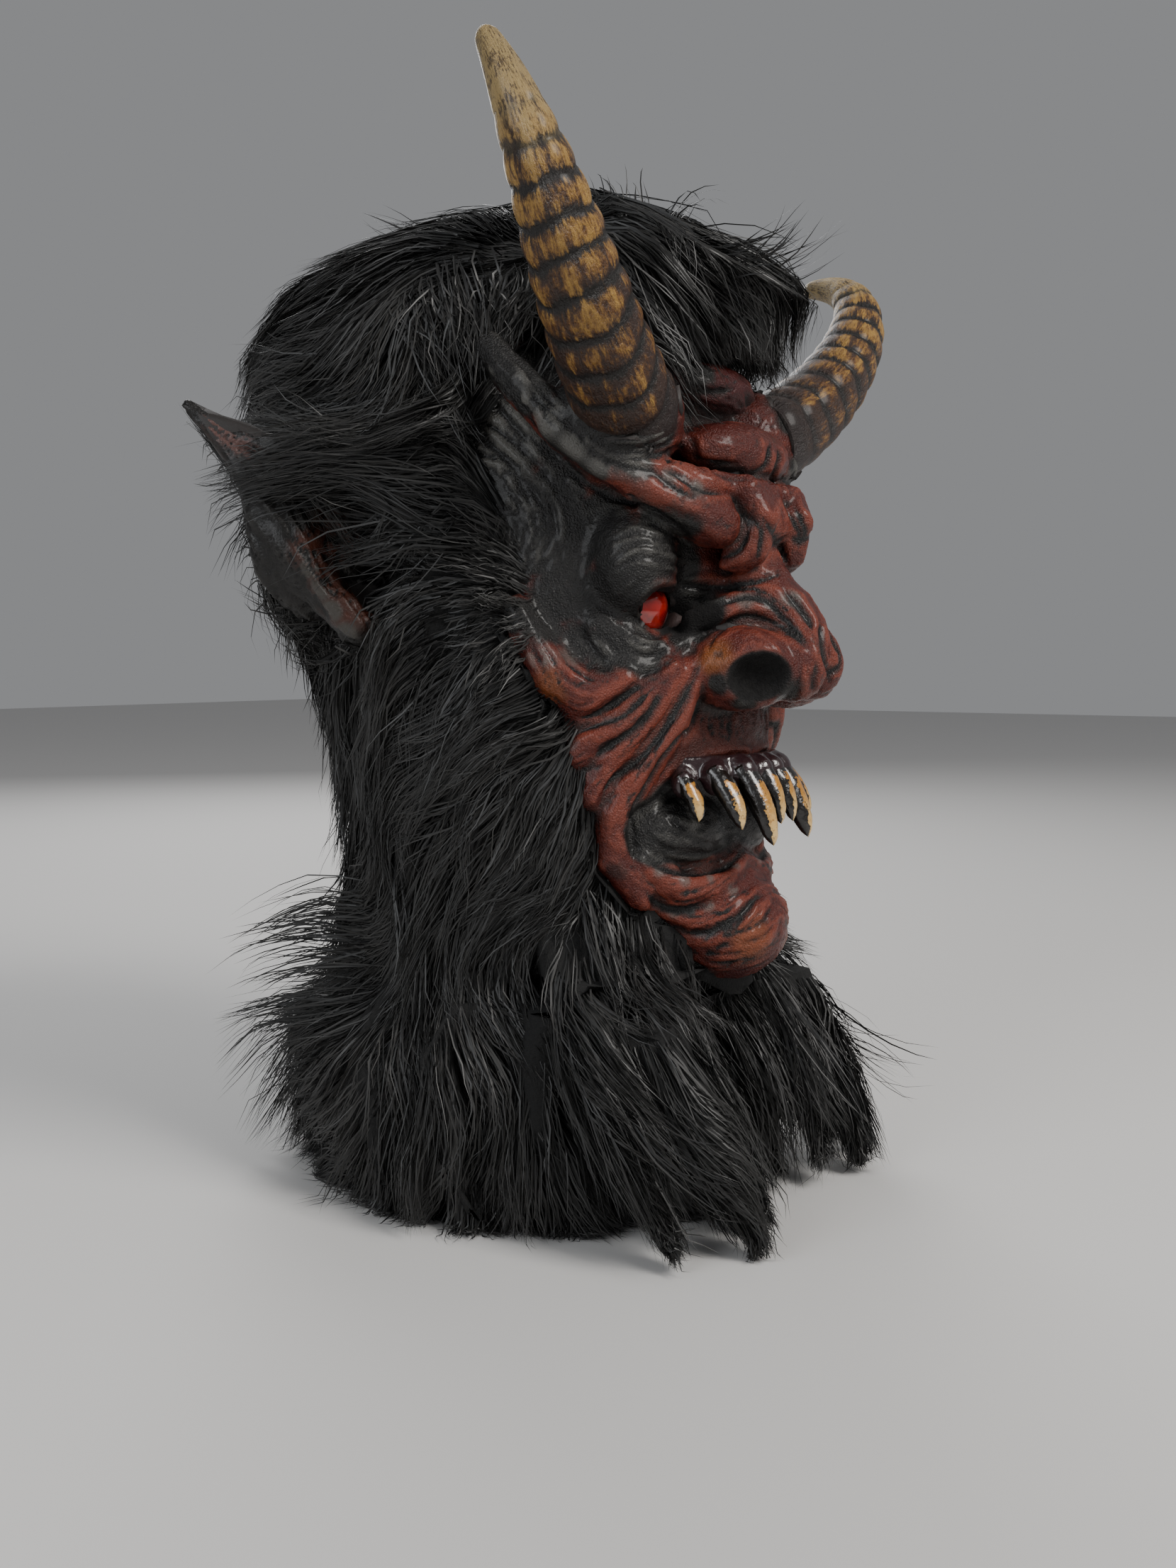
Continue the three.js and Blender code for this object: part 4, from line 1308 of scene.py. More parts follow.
@dataclass(frozen=True)
class RingedHorn:
    """Dark horn with yellow ochre brushed over its rings in streaks, and a pale tip."""

    name: str = "ringed_horn"
    ochre: Colour = (0.125, 0.047, 0.008)
    yellow: Colour = (0.36, 0.205, 0.045)
    brown: Colour = (0.030, 0.012, 0.006)
    groove: Colour = (0.006, 0.004, 0.003)
    root: Colour = (0.012, 0.005, 0.004)
    cream: Colour = (0.38, 0.28, 0.125)

    def build(self) -> bpy.types.Material:
        """Makes the material."""
        n = Nodes.fresh(self.name)
        along, ring = n.mark("along"), n.mark("ring")
        around = n.vector(n.mark("around_x"), n.mark("around_y"), along * 3.5)
        streak = n.noise(12, 4, 0.7, around) - 0.5
        patch = n.noise(2.2, 4, 0.6, around) - 0.5
        speck = n.noise(260, 4, 0.7) - 0.5
        wear = streak * 1.9 + patch * 3.2 + speck * 1.1
        bright = ring + wear + along.span(0.02, 0.62, -0.52, 0.06)
        warm = n.mix(((streak + patch) * 1.8 + along).span(0.2, 0.9), self.ochre, self.yellow)
        colour = n.mix(bright.span(0.35, 1.05), self.brown, warm)
        dark = ring + (streak * 0.9 + patch * 1.2)
        colour = n.mix(dark.span(0.72, 0.3), colour, self.groove)
        colour = n.mix(along.span(0.12, 0.02), colour, self.root)
        colour = n.mix((along + wear * 0.1).span(0.62, 0.86, 0, 0.8), colour, self.cream)
        mottle = (n.noise(120, 5, 0.8) + streak * -1.1).span(0.5, 0.66)
        colour = n.mix(mottle * along.span(0.55, 0.8, 0, 0.8), colour, self.brown)
        height = n.noise(1100, 4) + (streak + speck) * 4.0
        return n.surface(
            Base_Color=colour, Roughness=streak.span(-0.2, 0.2, 0.34, 0.52), Normal=n.bump(height, 0.0006, 0.8),
            Coat_Weight=0.12, Coat_Roughness=0.22,
        )


@dataclass(frozen=True)
class FangIvory:
    """Amber and cream fangs, black where they leave the gum."""

    name: str = "fang_ivory"
    amber: Colour = (0.42, 0.185, 0.022)
    cream: Colour = (0.66, 0.44, 0.17)
    stain: Colour = (0.17, 0.055, 0.009)
    black: Colour = (0.007, 0.005, 0.004)

    def build(self) -> bpy.types.Material:
        """Makes the material."""
        n = Nodes.fresh(self.name)
        along, edge = n.mark("along"), n.mark("edge")
        blotch = n.noise(240, 5, 0.7)
        colour = n.mix((along + blotch * 0.7).span(0.7, 1.25), self.amber, self.cream)
        colour = n.mix(n.noise(520, 4, 0.7).span(0.52, 0.7, 0, 0.75), colour, self.stain)
        dark = edge + (blotch - 0.5) * 1.6
        colour = n.mix(dark.span(0.42, 0.52), colour, self.black)
        return n.surface(
            Base_Color=colour, Roughness=0.22, Normal=n.bump(n.noise(500, 4), 0.0007, 0.7),
            Coat_Weight=0.6, Coat_Roughness=0.12,
        )


@dataclass(frozen=True)
class WetGum:
    """Purplish black gum with a wet gloss."""

    name: str = "wet_gum"
    dark: Colour = (0.016, 0.008, 0.009)
    light: Colour = (0.03, 0.012, 0.014)

    def build(self) -> bpy.types.Material:
        """Makes the material."""
        n = Nodes.fresh(self.name)
        return n.surface(
            Base_Color=n.mix(n.noise(200), self.dark, self.light), Roughness=0.25,
            Normal=n.bump(n.noise(600), 0.0006, 0.6), Coat_Weight=0.7, Coat_Roughness=0.1,
        )


@dataclass(frozen=True)
class RedEye:
    """Glossy red eye with darker clouds, black at its inner corner as painted shade."""

    name: str = "red_eye"
    red: Colour = (0.30, 0.010, 0.006)
    dark: Colour = (0.12, 0.004, 0.003)
    black: Colour = (0.003, 0.002, 0.002)

    def build(self) -> bpy.types.Material:
        """Makes the material."""
        n = Nodes.fresh(self.name)
        colour = n.mix(n.noise(110, 2).span(0.4, 0.62), self.red, self.dark)
        colour = n.mix(n.mark("corner"), colour, self.black)
        return n.surface(Base_Color=colour, Roughness=0.12, Coat_Weight=1.0, Coat_Roughness=0.03)


@dataclass(frozen=True)
class FauxFur:
    """Long black fur: each strand has its own grey, and is darker at the root as painted shade deep in the pile."""

    name: str = "faux_fur"
    root: Colour = (0.004, 0.004, 0.004)
    black: Colour = (0.012, 0.012, 0.012)
    grey: Colour = (0.043, 0.042, 0.040)

    def build(self) -> bpy.types.Material:
        """Makes the material."""
        n = Nodes.fresh(self.name)
        colour = n.mix(n.mark("shade"), self.black, self.grey)
        # Darker roots: painted shade deep in the pile.
        colour = n.mix(n.mark("along").span(0.0, 0.35), self.root, colour)
        return n.surface(Base_Color=colour, Roughness=0.46, Specular_IOR_Level=0.42)


@dataclass(frozen=True)
class FurBacking:
    """Near black pile between the strands, darker than the strands as painted shade of the pile's depth."""

    name: str = "fur_backing"
    black: Colour = (0.002, 0.002, 0.002)
    grey: Colour = (0.009, 0.009, 0.009)

    def build(self) -> bpy.types.Material:
        """Makes the material."""
        n = Nodes.fresh(self.name)
        colour = n.mix(n.noise(500), self.black, self.grey)
        return n.surface(Base_Color=colour, Roughness=0.9, Normal=n.bump(n.noise(700, 2), 0.001, 0.8))


# Skin


def welded(places: Array, triangles: Array) -> tuple[Array, Array, Array]:
    """Joins the vertices that lie on one another.

    Args:
        places: vertices.
        triangles: faces.

    Returns:
        Vertices, faces and outward normals.
    """
    merged, index = np.unique(np.round(places, 3), axis=0, return_inverse=True)
    faces = index.reshape(-1)[triangles]
    normals = np.zeros_like(merged)
    face = np.cross(merged[faces[:, 1]] - merged[faces[:, 0]], merged[faces[:, 2]] - merged[faces[:, 0]])
    for i in range(3):
        np.add.at(normals, faces[:, i], face)
    return merged, faces, unit(normals)


@dataclass
class Relief:
    """Heights, paint, painted shade and painted highlights that a sheet of skin gets at its vertices."""

    height: Array
    cavity: Array
    crest: Array
    wash_and_shade: Array


@dataclass
class Skin:
    """The painted latex: a fine face and the shell behind it, with the cores of the ears."""

    head: HeadForm = field(default_factory=HeadForm)
    eye_radius: float = 14.5
    eye_zone: float = 40
    slit: Ball = Ball((-51, -81.5, 270), (8, 8.5, 8), 2, cut=True)
    face_step: float = 1.33
    face_low: Point = (-112, -152, 92)
    face_high: Point = (0, 34, 428)
    under_fur: float = 14.0
    chin_cut: float = 97.0
    tuck: float = 3.0
    shell_inset: float = 2.4
    ear_inset: float = 1.4
    ear_side: float = 90
    ear_foot: float = 230
    flow_step: float = 4.0
    flow_spread: float = 14.0
    fine_wrinkle: float = 0.36
    coarse_wrinkle: float = 0.55
    usual_amount: float = 0.6
    hollow_step: float = 5.0

    def field(self, p: Array) -> Array:
        """Distance to the skin with room for the eyes."""
        d = self.head.skin(p)
        side = folded(p)
        near = np.flatnonzero(np.linalg.norm(side - EYE_CENTRE, axis=1) < self.eye_zone)
        d[near] = carve(d[near], self.slit.distance(side[near]), self.slit.blend)
        d[near] = np.maximum(d[near], self.eye_radius - np.linalg.norm(side[near] - EYE_CENTRE, axis=1))
        return d

    def base(self) -> tuple[Array, Array]:
        """Smooth mesh of the bare face, with an edge that runs on under the fur."""
        grid = Surface(self.face_low, self.face_high, self.face_step, mirrored=True)
        places, quads = grid.mesh(self.field)
        bare = (places[:, 1] < self.head.hairline_at(places[:, 2]) + self.under_fur) & (places[:, 2] > self.chin_cut)
        places, quads, _ = compacted(places, quads[bare[quads].all(1)])
        return settled(self.field, places), quads

    def build(self, shop: Workshop) -> tuple[Array, Array]:
        """Makes the skin's pieces.

        Args:
            shop: where pieces are placed.

        Returns:
            Places and normals of the smooth face.
        """
        places, quads = self.base()
        aimed = Aimed(BVHTree.FromPolygons(places.tolist(), quads.tolist()))
        normals = vertex_normals(places, quads)
        lines = [(stroke, folded(aimed.line(stroke.points))) for stroke in FACE_STROKES]
        lines = [(stroke, line) for stroke, line in lines if len(line) > 2]
        relief = self.drawn(places, lines)
        self.wrinkle(relief, places, self.flow(lines), aimed)
        marks = {"cavity": relief.cavity, "crest": relief.crest, "wash_and_shade": relief.wash_and_shade}
        marks |= self.paint(places, aimed)
        moved = places + normals * relief.height[:, None]
        moved, quads, marks = self.tucked(moved, quads, normals, marks)
        shop.piece("face", moved, [quads], PaintedLatex().build(), ["mask_skin"], marks)
        self.build_shell(shop)
        return places, normals

    def drawn(self, places: Array, lines: list[tuple[Stroke, Array]]) -> Relief:
        """Relief of all strokes on the face.

        Args:
            places: vertices.
            lines: strokes with their places on the right side.

        Returns:
            Heights, with painted shade in the creases, lighter paint and painted highlights on the crests, and a dark
            wash beside the creases that is partly painted shade.
        """
        p = folded(places)
        cuts, raised, swell, core, wash_and_shade = (np.zeros(len(p)) for _ in range(5))
        for stroke, line in lines:
            margin = stroke.width * 6
            near = np.flatnonzero(inside(p, line.min(0) - margin, line.max(0) + margin))
            if not len(near):
                continue
            gap, along = self.to_line(p[near], line)
            taper = np.minimum(smooth(along, -0.04, 0.3), smooth(1 - along, -0.04, 0.3))
            width = stroke.width * (1 + 0.3 * value_noise(p[near], 7, 11)) * (0.55 + 0.45 * taper)
            ratio = gap / width
            if stroke.kind is Kind.RIDGE:
                raised[near] = np.maximum(raised[near], stroke.height * taper * np.exp(-(ratio**2)))
                continue
            depth = stroke.height * taper
            cuts[near] = np.maximum(cuts[near], depth * np.exp(-(ratio**2)))
            swell[near] = np.maximum(swell[near], 0.42 * depth * np.exp(-(((ratio - 2.7) / 1.5) ** 2)))
            core[near] = np.maximum(core[near], np.minimum(depth, 1.3) / 1.3 * np.exp(-((ratio / 0.72) ** 2)))
            wash_and_shade[near] = np.maximum(wash_and_shade[near], np.minimum(depth, 1.5) / 1.5 * np.exp(-((ratio / 2.3) ** 2)))
        crest = np.clip(raised / 1.6 + swell * 1.3, 0, 1)
        return Relief(raised + swell - cuts, core, crest, wash_and_shade)

    @staticmethod
    def to_line(p: Array, line: Array) -> tuple[Array, Array]:
        """Distance of places to a line and the share of its length where they meet it.

        Args:
            p: places in millimetres.
            line: points of the line.

        Returns:
            Distances and shares.
        """
        gap = np.full(len(p), np.inf)
        along = np.zeros(len(p))
        for i in range(len(line) - 1):
            e = line[i + 1] - line[i]
            t = np.clip((p - line[i]) @ e / max(e @ e, 1e-9), 0, 1)
            d = np.linalg.norm(p - line[i] - t[:, None] * e, axis=1)
            closer = d < gap
            gap[closer] = d[closer]
            along[closer] = (i + t[closer]) / (len(line) - 1)
        return gap, along

    def flow(self, lines: list[tuple[Stroke, Array]]) -> FlowGrid:
        """Direction in which the skin is creased, from the strokes."""
        places = np.vstack([line[1::2] for _, line in lines])
        tangents = np.vstack([unit(np.gradient(line, axis=0))[1::2] for _, line in lines])
        return FlowGrid.of_lines(places, tangents, self.face_low, self.face_high, self.flow_step, self.flow_spread)

    def wrinkle(self, relief: Relief, places: Array, flow: FlowGrid, aimed: Aimed) -> None:
        """Adds fine and coarse wrinkles along the flow, painted shade in their valleys and in broad hollows, and
        painted highlights on their ridges and on bulges.

        Args:
            relief: what the wrinkles are added to.
            places: vertices.
            flow: direction of the creases.
            aimed: finds pixels on the face.
        """
        p = folded(places)
        amount = np.full(len(p), self.usual_amount)
        for zone in WRINKLE_ZONES:
            centre = aimed.hit(zone.pixel)
            if centre is not None:
                share = np.exp(-((np.linalg.norm(p - folded(centre[None]), axis=1) / zone.radius) ** 2))
                amount = np.maximum(amount, zone.amount * share + self.usual_amount * (1 - share))
        fine = flow.streaks(places, 1.8, 7.0, 3)
        rough = flow.streaks(places, 3.4, 15.0, 5)
        cross = value_noise(places, 2.2, 9)
        lines = (self.fine_wrinkle * folds(fine + 0.5 * cross) + self.coarse_wrinkle * folds(rough)) * amount
        relief.height += lines
        # Painted shade in the valleys of the wrinkles and painted highlight on their ridges.
        relief.cavity = np.clip(relief.cavity + np.clip(-lines * 1.9 - 0.08, 0, 0.8), 0, 1)
        relief.crest = np.clip(relief.crest + np.clip(lines * 1.6, 0, 0.6), 0, 1)
        # Painted shade in broad hollows and painted highlight on broad bulges, from the curvature of the field.
        step = self.hollow_step
        around = sum(self.field(places + s) for s in np.vstack([np.eye(3), -np.eye(3)]) * step)
        hollow = 1 - smooth(around / (2 * step**2), -0.11, 0.01)
        bulge = smooth(around / (2 * step**2), 0.05, 0.16)
        relief.wash_and_shade = np.clip(np.maximum(relief.wash_and_shade, hollow), 0, 1)
        relief.crest = np.clip(relief.crest + 0.35 * bulge, 0, 1)

    def paint(self, places: Array, aimed: Aimed) -> dict[str, Array]:
        """Share of each paint at the vertices, with black as painted shade in the pits and grey as painted highlight in
        the mouth.

        Args:
            places: vertices.
            aimed: finds pixels on the face.

        Returns:
            Values by the name of the paint.
        """
        p = folded(places)
        cloud = 1 + 0.35 * value_noise(p, 7, 21)
        tones = {tone.value: np.zeros(len(p)) for tone in Tone}
        for spray in SPRAYS:
            centre = aimed.hit(spray.pixel)
            if centre is None:
                continue
            gap = np.linalg.norm(p - folded(centre[None]), axis=1) / (spray.radius * cloud)
            share = spray.amount * (1 - smooth(gap, 0.35, 1.3))
            tones[spray.tone.value] = np.maximum(tones[spray.tone.value], share)
        black, grey = tones[Tone.BLACK.value], tones[Tone.GREY.value]
        mouth = 1 - smooth(MOUTH_CUT.distance(p), 0.5, 5.5)
        # The nostrils and the slits of the eyes are made black as painted shade of their depth.
        pits = np.maximum(1 - smooth(NOSTRIL_CUT.distance(p), -0.5, 2.5), 1 - smooth(SLIT_CUT.distance(p), -0.5, 4))
        tones[Tone.BLACK.value] = np.maximum(black, np.maximum(mouth, pits))
        # Grey on the mouth's wrinkles is a painted highlight.
        tones[Tone.GREY.value] = np.maximum(grey * (1 - pits) * (1 - 0.6 * mouth), 0.22 * mouth)
        tones["pit"] = pits
        return tones

    def tucked(
        self, places: Array, quads: Array, normals: Array, marks: dict[str, Array]
    ) -> tuple[Array, Array, dict[str, Array]]:
        """Turns the open edge of the face in towards the shell.

        Args:
            places: vertices.
            quads: faces.
            normals: outward normals.
            marks: values at the vertices.

        Returns:
            Vertices, faces and values with the rim added.
        """
        edges = np.vstack([quads[:, [i, (i + 1) % 4]] for i in range(4)])
        _, first, count = np.unique(np.sort(edges, 1), axis=0, return_index=True, return_counts=True)
        rim = edges[first[count == 1]]
        ring = np.unique(rim)
        number = np.zeros(len(places), np.int64)
        number[ring] = len(places) + np.arange(len(ring))
        lower = places[ring] - normals[ring] * self.tuck
        band = np.stack([rim[:, 1], rim[:, 0], number[rim[:, 0]], number[rim[:, 1]]], 1)
        marks = {key: np.concatenate([values, values[ring]]) for key, values in marks.items()}
        return np.vstack([places, lower]), np.vstack([quads, band]), marks

    def build_shell(self, shop: Workshop) -> None:
        """Makes the hollow latex behind the face, with the cores of the ears and the neck.

        Args:
            shop: where pieces are placed.
        """
        merged, faces, normals = welded(*shop.node_mesh("mask_skin"))
        outside = self.head.carved(merged) > -2.0
        front = (merged[:, 1] < self.head.hairline_at(merged[:, 2]) + self.under_fur + 4) & outside
        ear = (np.abs(merged[:, 0]) > self.ear_side) & (merged[:, 2] > self.ear_foot)
        inset = np.where(front, self.shell_inset, 0) + np.where(ear & ~front, self.ear_inset, 0)
        merged = merged - normals * inset[:, None]
        marks = {"outside": outside.astype(float)}
        shop.piece("latex_shell", merged, [faces], PlainLatex().build(), ["mask_skin"], marks)


@dataclass(frozen=True)
class Ears:
    """Long pointed ears with wrinkled rims."""

    head: HeadForm = field(default_factory=HeadForm)
    low: Point = (-160, 8, 232)
    high: Point = (-86, 110, 368)
    step: float = 1.5
    wrinkle: float = 1.05
    creases: tuple[tuple[Point, ...], ...] = (
        ((-112, 30, 262), (-126, 48, 292), (-134, 68, 325), (-148, 90, 352)),
        ((-100, 28, 252), (-112, 36, 262), (-128, 54, 296)),
        ((-92, 22, 318), (-110, 38, 330), (-128, 62, 340), (-146, 90, 353)),
        ((-100, 30, 276), (-112, 44, 302), (-126, 66, 330)),
    )
    # Spots of paint; the grey of the rim spots is partly painted highlight.
    sprays: tuple[tuple[str, Pixel, float], ...] = (
        ("hollow", (495, 850), 13), ("hollow", (440, 775), 10), ("hollow", (480, 905), 8), ("hollow", (460, 820), 8),
        ("flush", (495, 750), 9), ("flush", (525, 772), 7), ("tip", (312, 600), 9), ("tip", (335, 616), 9),
        ("tip", (360, 642), 7), ("rim", (440, 800), 5), ("rim", (452, 830), 5), ("rim", (468, 862), 5),
        ("rim", (488, 893), 5), ("rim", (508, 918), 6), ("rim", (345, 720), 4), ("rim", (350, 760), 4),
        ("rim", (356, 800), 4),
    )
    pink_side: Point = (-0.3, -0.7, -0.6)
    point: tuple[Point, Point] = ((-133, 66, 324), (-150, 94, 356))
    narrowed: float = 0.42

    def build(self, shop: Workshop) -> None:
        """Makes both ears.

        Args:
            shop: where pieces are placed.
        """
        places, quads = Surface(self.low, self.high, self.step).mesh(self.head.skin)
        places = settled(self.head.skin, places)
        flow = self.flow()
        lines = self.wrinkle * folds(flow.streaks(places, 3.0, 16.0, 15))
        lines += 0.4 * self.wrinkle * folds(flow.streaks(places, 1.8, 8.0, 16))
        normals = vertex_normals(places, quads)
        marks = {"cavity": np.clip(-lines * 1.3, 0, 1), "crest": np.clip(lines * 1.3, 0, 1)}
        marks |= {name: np.zeros(len(places)) for name in ("hollow", "flush", "tip", "rim")}
        aimed = Aimed(BVHTree.FromPolygons(places.tolist(), quads.tolist()))
        for name, pixel, radius in self.sprays:
            centre = aimed.hit(pixel)
            if centre is not None:
                gap = np.linalg.norm(places - centre, axis=1) / radius
                marks[name] = np.maximum(marks[name], 1 - smooth(gap, 0.45, 1.25))
        marks["tip"] *= smooth(normals @ unit(np.array(self.pink_side)), 0.0, 0.5)
        concha = self.head.ear[-1].distance(places)
        marks["hollow"] = np.maximum(marks["hollow"], 1 - smooth(concha, 0, 5))
        moved = places + normals * lines[:, None]
        foot, end = (np.array(point, float) for point in self.point)
        t = np.clip((moved - foot) @ (end - foot) / ((end - foot) @ (end - foot)), 0, 1.2)
        moved += (foot + t[:, None] * (end - foot) - moved) * (self.narrowed * smooth(t, 0, 0.6))[:, None]
        material = PaintedEar().build()
        for name, sign in (("ear_right", 1), ("ear_left", -1)):
            turned = quads if sign > 0 else quads[:, ::-1]
            shop.piece(name, moved * (sign, 1, 1), [turned], material, ["mask_skin"], marks)

    def flow(self) -> FlowGrid:
        """Direction of the ear's wrinkles, along its rims."""
        lines = [sampled(line, 3.0) for line in self.creases]
        places = np.vstack([line[:-1] for line in lines])
        tangents = np.vstack([unit(np.diff(line, axis=0)) for line in lines])
        return FlowGrid.of_lines(places, tangents, self.low, self.high, 4.0, 12.0)


@dataclass(frozen=True)
class PaintedEar:
    """Black and grey latex, brown in the hollow of the ear and pink at its tip, with painted highlights on its rims and
    crests and painted shade in its wrinkles.
    """

    name: str = "painted_ear"
    black: Colour = (0.0075, 0.0066, 0.0060)
    grey: Colour = (0.048, 0.045, 0.039)
    brown: Colour = (0.060, 0.016, 0.008)
    pink: Colour = (0.098, 0.047, 0.040)
    recess_shade: Colour = (0.004, 0.0035, 0.003)

    def build(self) -> bpy.types.Material:
        """Makes the material."""
        n = Nodes.fresh(self.name)
        fine, crest = n.noise(90, 4, 0.6), n.mark("crest")
        # More pink and grey on the crests: partly paint rubbed onto them, partly painted highlight.
        relief_paint_and_shading = (fine + crest * 0.6).span(0.4, 0.8)
        colour = n.mix(n.mark("hollow") * fine.span(0.3, 0.6, 0.5, 1), self.black, self.brown)
        for patch in ("flush", "tip"):
            colour = n.mix(n.mark(patch) * relief_paint_and_shading, colour, self.pink)
        # Grey on the rims: partly real silver paint, partly the painted highlight of the glossy rim.
        light = (crest * 0.3 + n.mark("rim") * 0.7) * relief_paint_and_shading
        colour = n.mix(light.span(0.05, 0.9, 0, 0.9), colour, self.grey)
        # Painted shade in the valleys of the ear's wrinkles.
        colour = n.mix(n.mark("cavity").span(0.1, 0.7), colour, self.recess_shade)
        return n.surface(
            Base_Color=colour, Roughness=0.42, Normal=n.bump(n.noise(900), 0.0006, 0.7),
            Specular_IOR_Level=0.34, Coat_Weight=0.1, Coat_Roughness=0.2,
        )


# Horns, eyes and teeth


def tube_faces(rings: int, sides: int) -> list[Array]:
    """Faces of a tube with closed ends, whose last two vertices are the middles of its ends.

    Args:
        rings: number of rings.
        sides: number of vertices of each ring.

    Returns:
        The quads round the tube and the triangles at its ends.
    """
    i, s = np.meshgrid(np.arange(rings - 1), np.arange(sides), indexing="ij")
    a = i * sides + s
    b = i * sides + (s + 1) % sides
    quads = np.stack([a, b, b + sides, a + sides], -1).reshape(-1, 4)
    start = np.arange(sides)
    following, last = (start + 1) % sides, (rings - 1) * sides
    middle = np.full(sides, rings * sides)
    ends = [[middle, following, start], [middle + 1, last + start, last + following]]
    return [quads, np.vstack([np.stack(end, 1) for end in ends])]


@dataclass(frozen=True)
class Horn:
    """A horn along a cubic curve, ringed up to its smooth tip."""

    side: str
    curve: tuple[Point, Point, Point, Point]
    root_radius: float = 21.5
    tip_radius: float = 4.0
    belly: float = 9.0
    bands: int = 10
    ring_share: float = 0.8
    ring_depth: float = 1.15
    streak_depth: float = 0.16
    rounding: tuple[float, float] = (0.965, 0.035)
    least: float = 0.15
    steps: int = 190
    sides: int = 56
    seed: int = 1

    def spine(self, t: Array) -> tuple[Array, Array, Array, Array]:
        """Places and three axes along the curve.

        Args:
            t: shares of the length.

        Returns:
            Places and unit vectors ahead, across and up.
        """
        a, b, c, d = (np.array(p, float) for p in self.curve)
        u = t[:, None]
        place = (1 - u) ** 3 * a + 3 * (1 - u) ** 2 * u * b + 3 * (1 - u) * u**2 * c + u**3 * d
        ahead = unit(3 * (1 - u) ** 2 * (b - a) + 6 * (1 - u) * u * (c - b) + 3 * u**2 * (d - c))
        across = unit(np.cross(ahead, [0.15, -1, 0.1]))
        return place, ahead, across, np.cross(ahead, across)

    def relief(self, t: Array, angle: Array) -> tuple[Array, Array]:
        """Shape of the horn round its curve.

        Args:
            t: share of the length at each vertex.
            angle: angle round the curve at each vertex.

        Returns:
            Radius, and how high each vertex is on a ring, from 0 to 1.
        """
        x, y = np.cos(angle), np.sin(angle)
        uneven = value_noise(np.stack([x * 2.2, y * 2.2, t * 9], -1), 1.3, self.seed)
        wave = uneven * 0.24 + 0.06 * np.sin(angle * 2 + t * 9)
        phase = t / self.ring_share * self.bands * (1.12 - 0.12 * t) + wave
        swell = np.abs(np.sin(np.pi * phase)) ** 0.7
        fade = 1 - smooth(t, self.ring_share - 0.1, self.ring_share + 0.04)
        stretched = np.stack([x * 9, y * 9, t * 5], -1)
        streak = value_noise(stretched, 0.55, self.seed + 3) + 0.6 * value_noise(stretched, 0.27, self.seed + 4)
        start, length = self.rounding
        blunt = np.sqrt(np.clip(1 - np.clip((t - start) / length, 0, 1) ** 2, 0.0, 1))
        radius = (self.root_radius * (1 - t) + self.tip_radius * t + self.belly * t * (1 - t)) * blunt
        depth = self.ring_depth * (1 - 0.45 * t)
        radius = radius + depth * (swell - 0.75) * fade * 1.5 + streak * self.streak_depth * (1 - 0.6 * t)
        return np.maximum(radius, self.least), 1 - (1 - swell) * fade

    def build(self, shop: Workshop, material: bpy.types.Material) -> None:
        """Makes the horn.

        Args:
            shop: where pieces are placed.
            material: its finish.
        """
        t = np.linspace(0, 1, self.steps + 1)
        angle = np.linspace(0, 2 * np.pi, self.sides, endpoint=False)
        place, _, across, up = self.spine(t)
        tt, aa = np.meshgrid(t, angle, indexing="ij")
        radius, ring = self.relief(tt.ravel(), aa.ravel())
        out = across[:, None] * np.cos(aa)[..., None] + up[:, None] * np.sin(aa)[..., None]
        places = (place[:, None] + out * radius.reshape(tt.shape)[..., None]).reshape(-1, 3)
        places = np.vstack([places, place[0], place[-1]])
        marks = {
            "along": np.append(tt.ravel(), [0, 1]),
            "ring": np.append(ring, [0, 1]),
            "around_x": np.append(np.cos(aa).ravel(), [0, 0]),
            "around_y": np.append(np.sin(aa).ravel(), [0, 0]),
        }
        name = f"horn_{self.side}"
        faces = tube_faces(self.steps + 1, self.sides)
        shop.piece(f"{name}_ringed", places, faces, material, [name], marks)


@dataclass(frozen=True)
class Eyes:
    """Two glossy balls set in the sockets."""

    radius: float = 14.0
    steps: int = 48
    # Inner corner of the eye, made black as painted shade beside the nose.
    corner: Point = (-31, -74, 265)

    def build(self, shop: Workshop) -> None:
        """Makes both eyes.

        Args:
            shop: where pieces are placed.
        """
        material = RedEye().build()
        polar = np.linspace(0, np.pi, self.steps // 2 + 1)[1:-1]
        angle = np.linspace(0, 2 * np.pi, self.steps, endpoint=False)
        pp, aa = np.meshgrid(polar, angle, indexing="ij")
        ball = np.stack([np.sin(pp) * np.cos(aa), np.sin(pp) * np.sin(aa), -np.cos(pp)], -1).reshape(-1, 3)
        ball = np.vstack([ball, [0, 0, -1], [0, 0, 1]])
        faces = tube_faces(len(polar), self.steps)
        for side, name in ((1, "right"), (-1, "left")):
            places = np.array(EYE_CENTRE) * (side, 1, 1) + ball * self.radius
            gap = np.linalg.norm(folded(places) - self.corner, axis=1)
            marks = {"corner": 1 - smooth(gap, 7, 12)}
            shop.piece(f"eye_{name}_glass", places, faces, material, [f"eye_{name}"], marks)


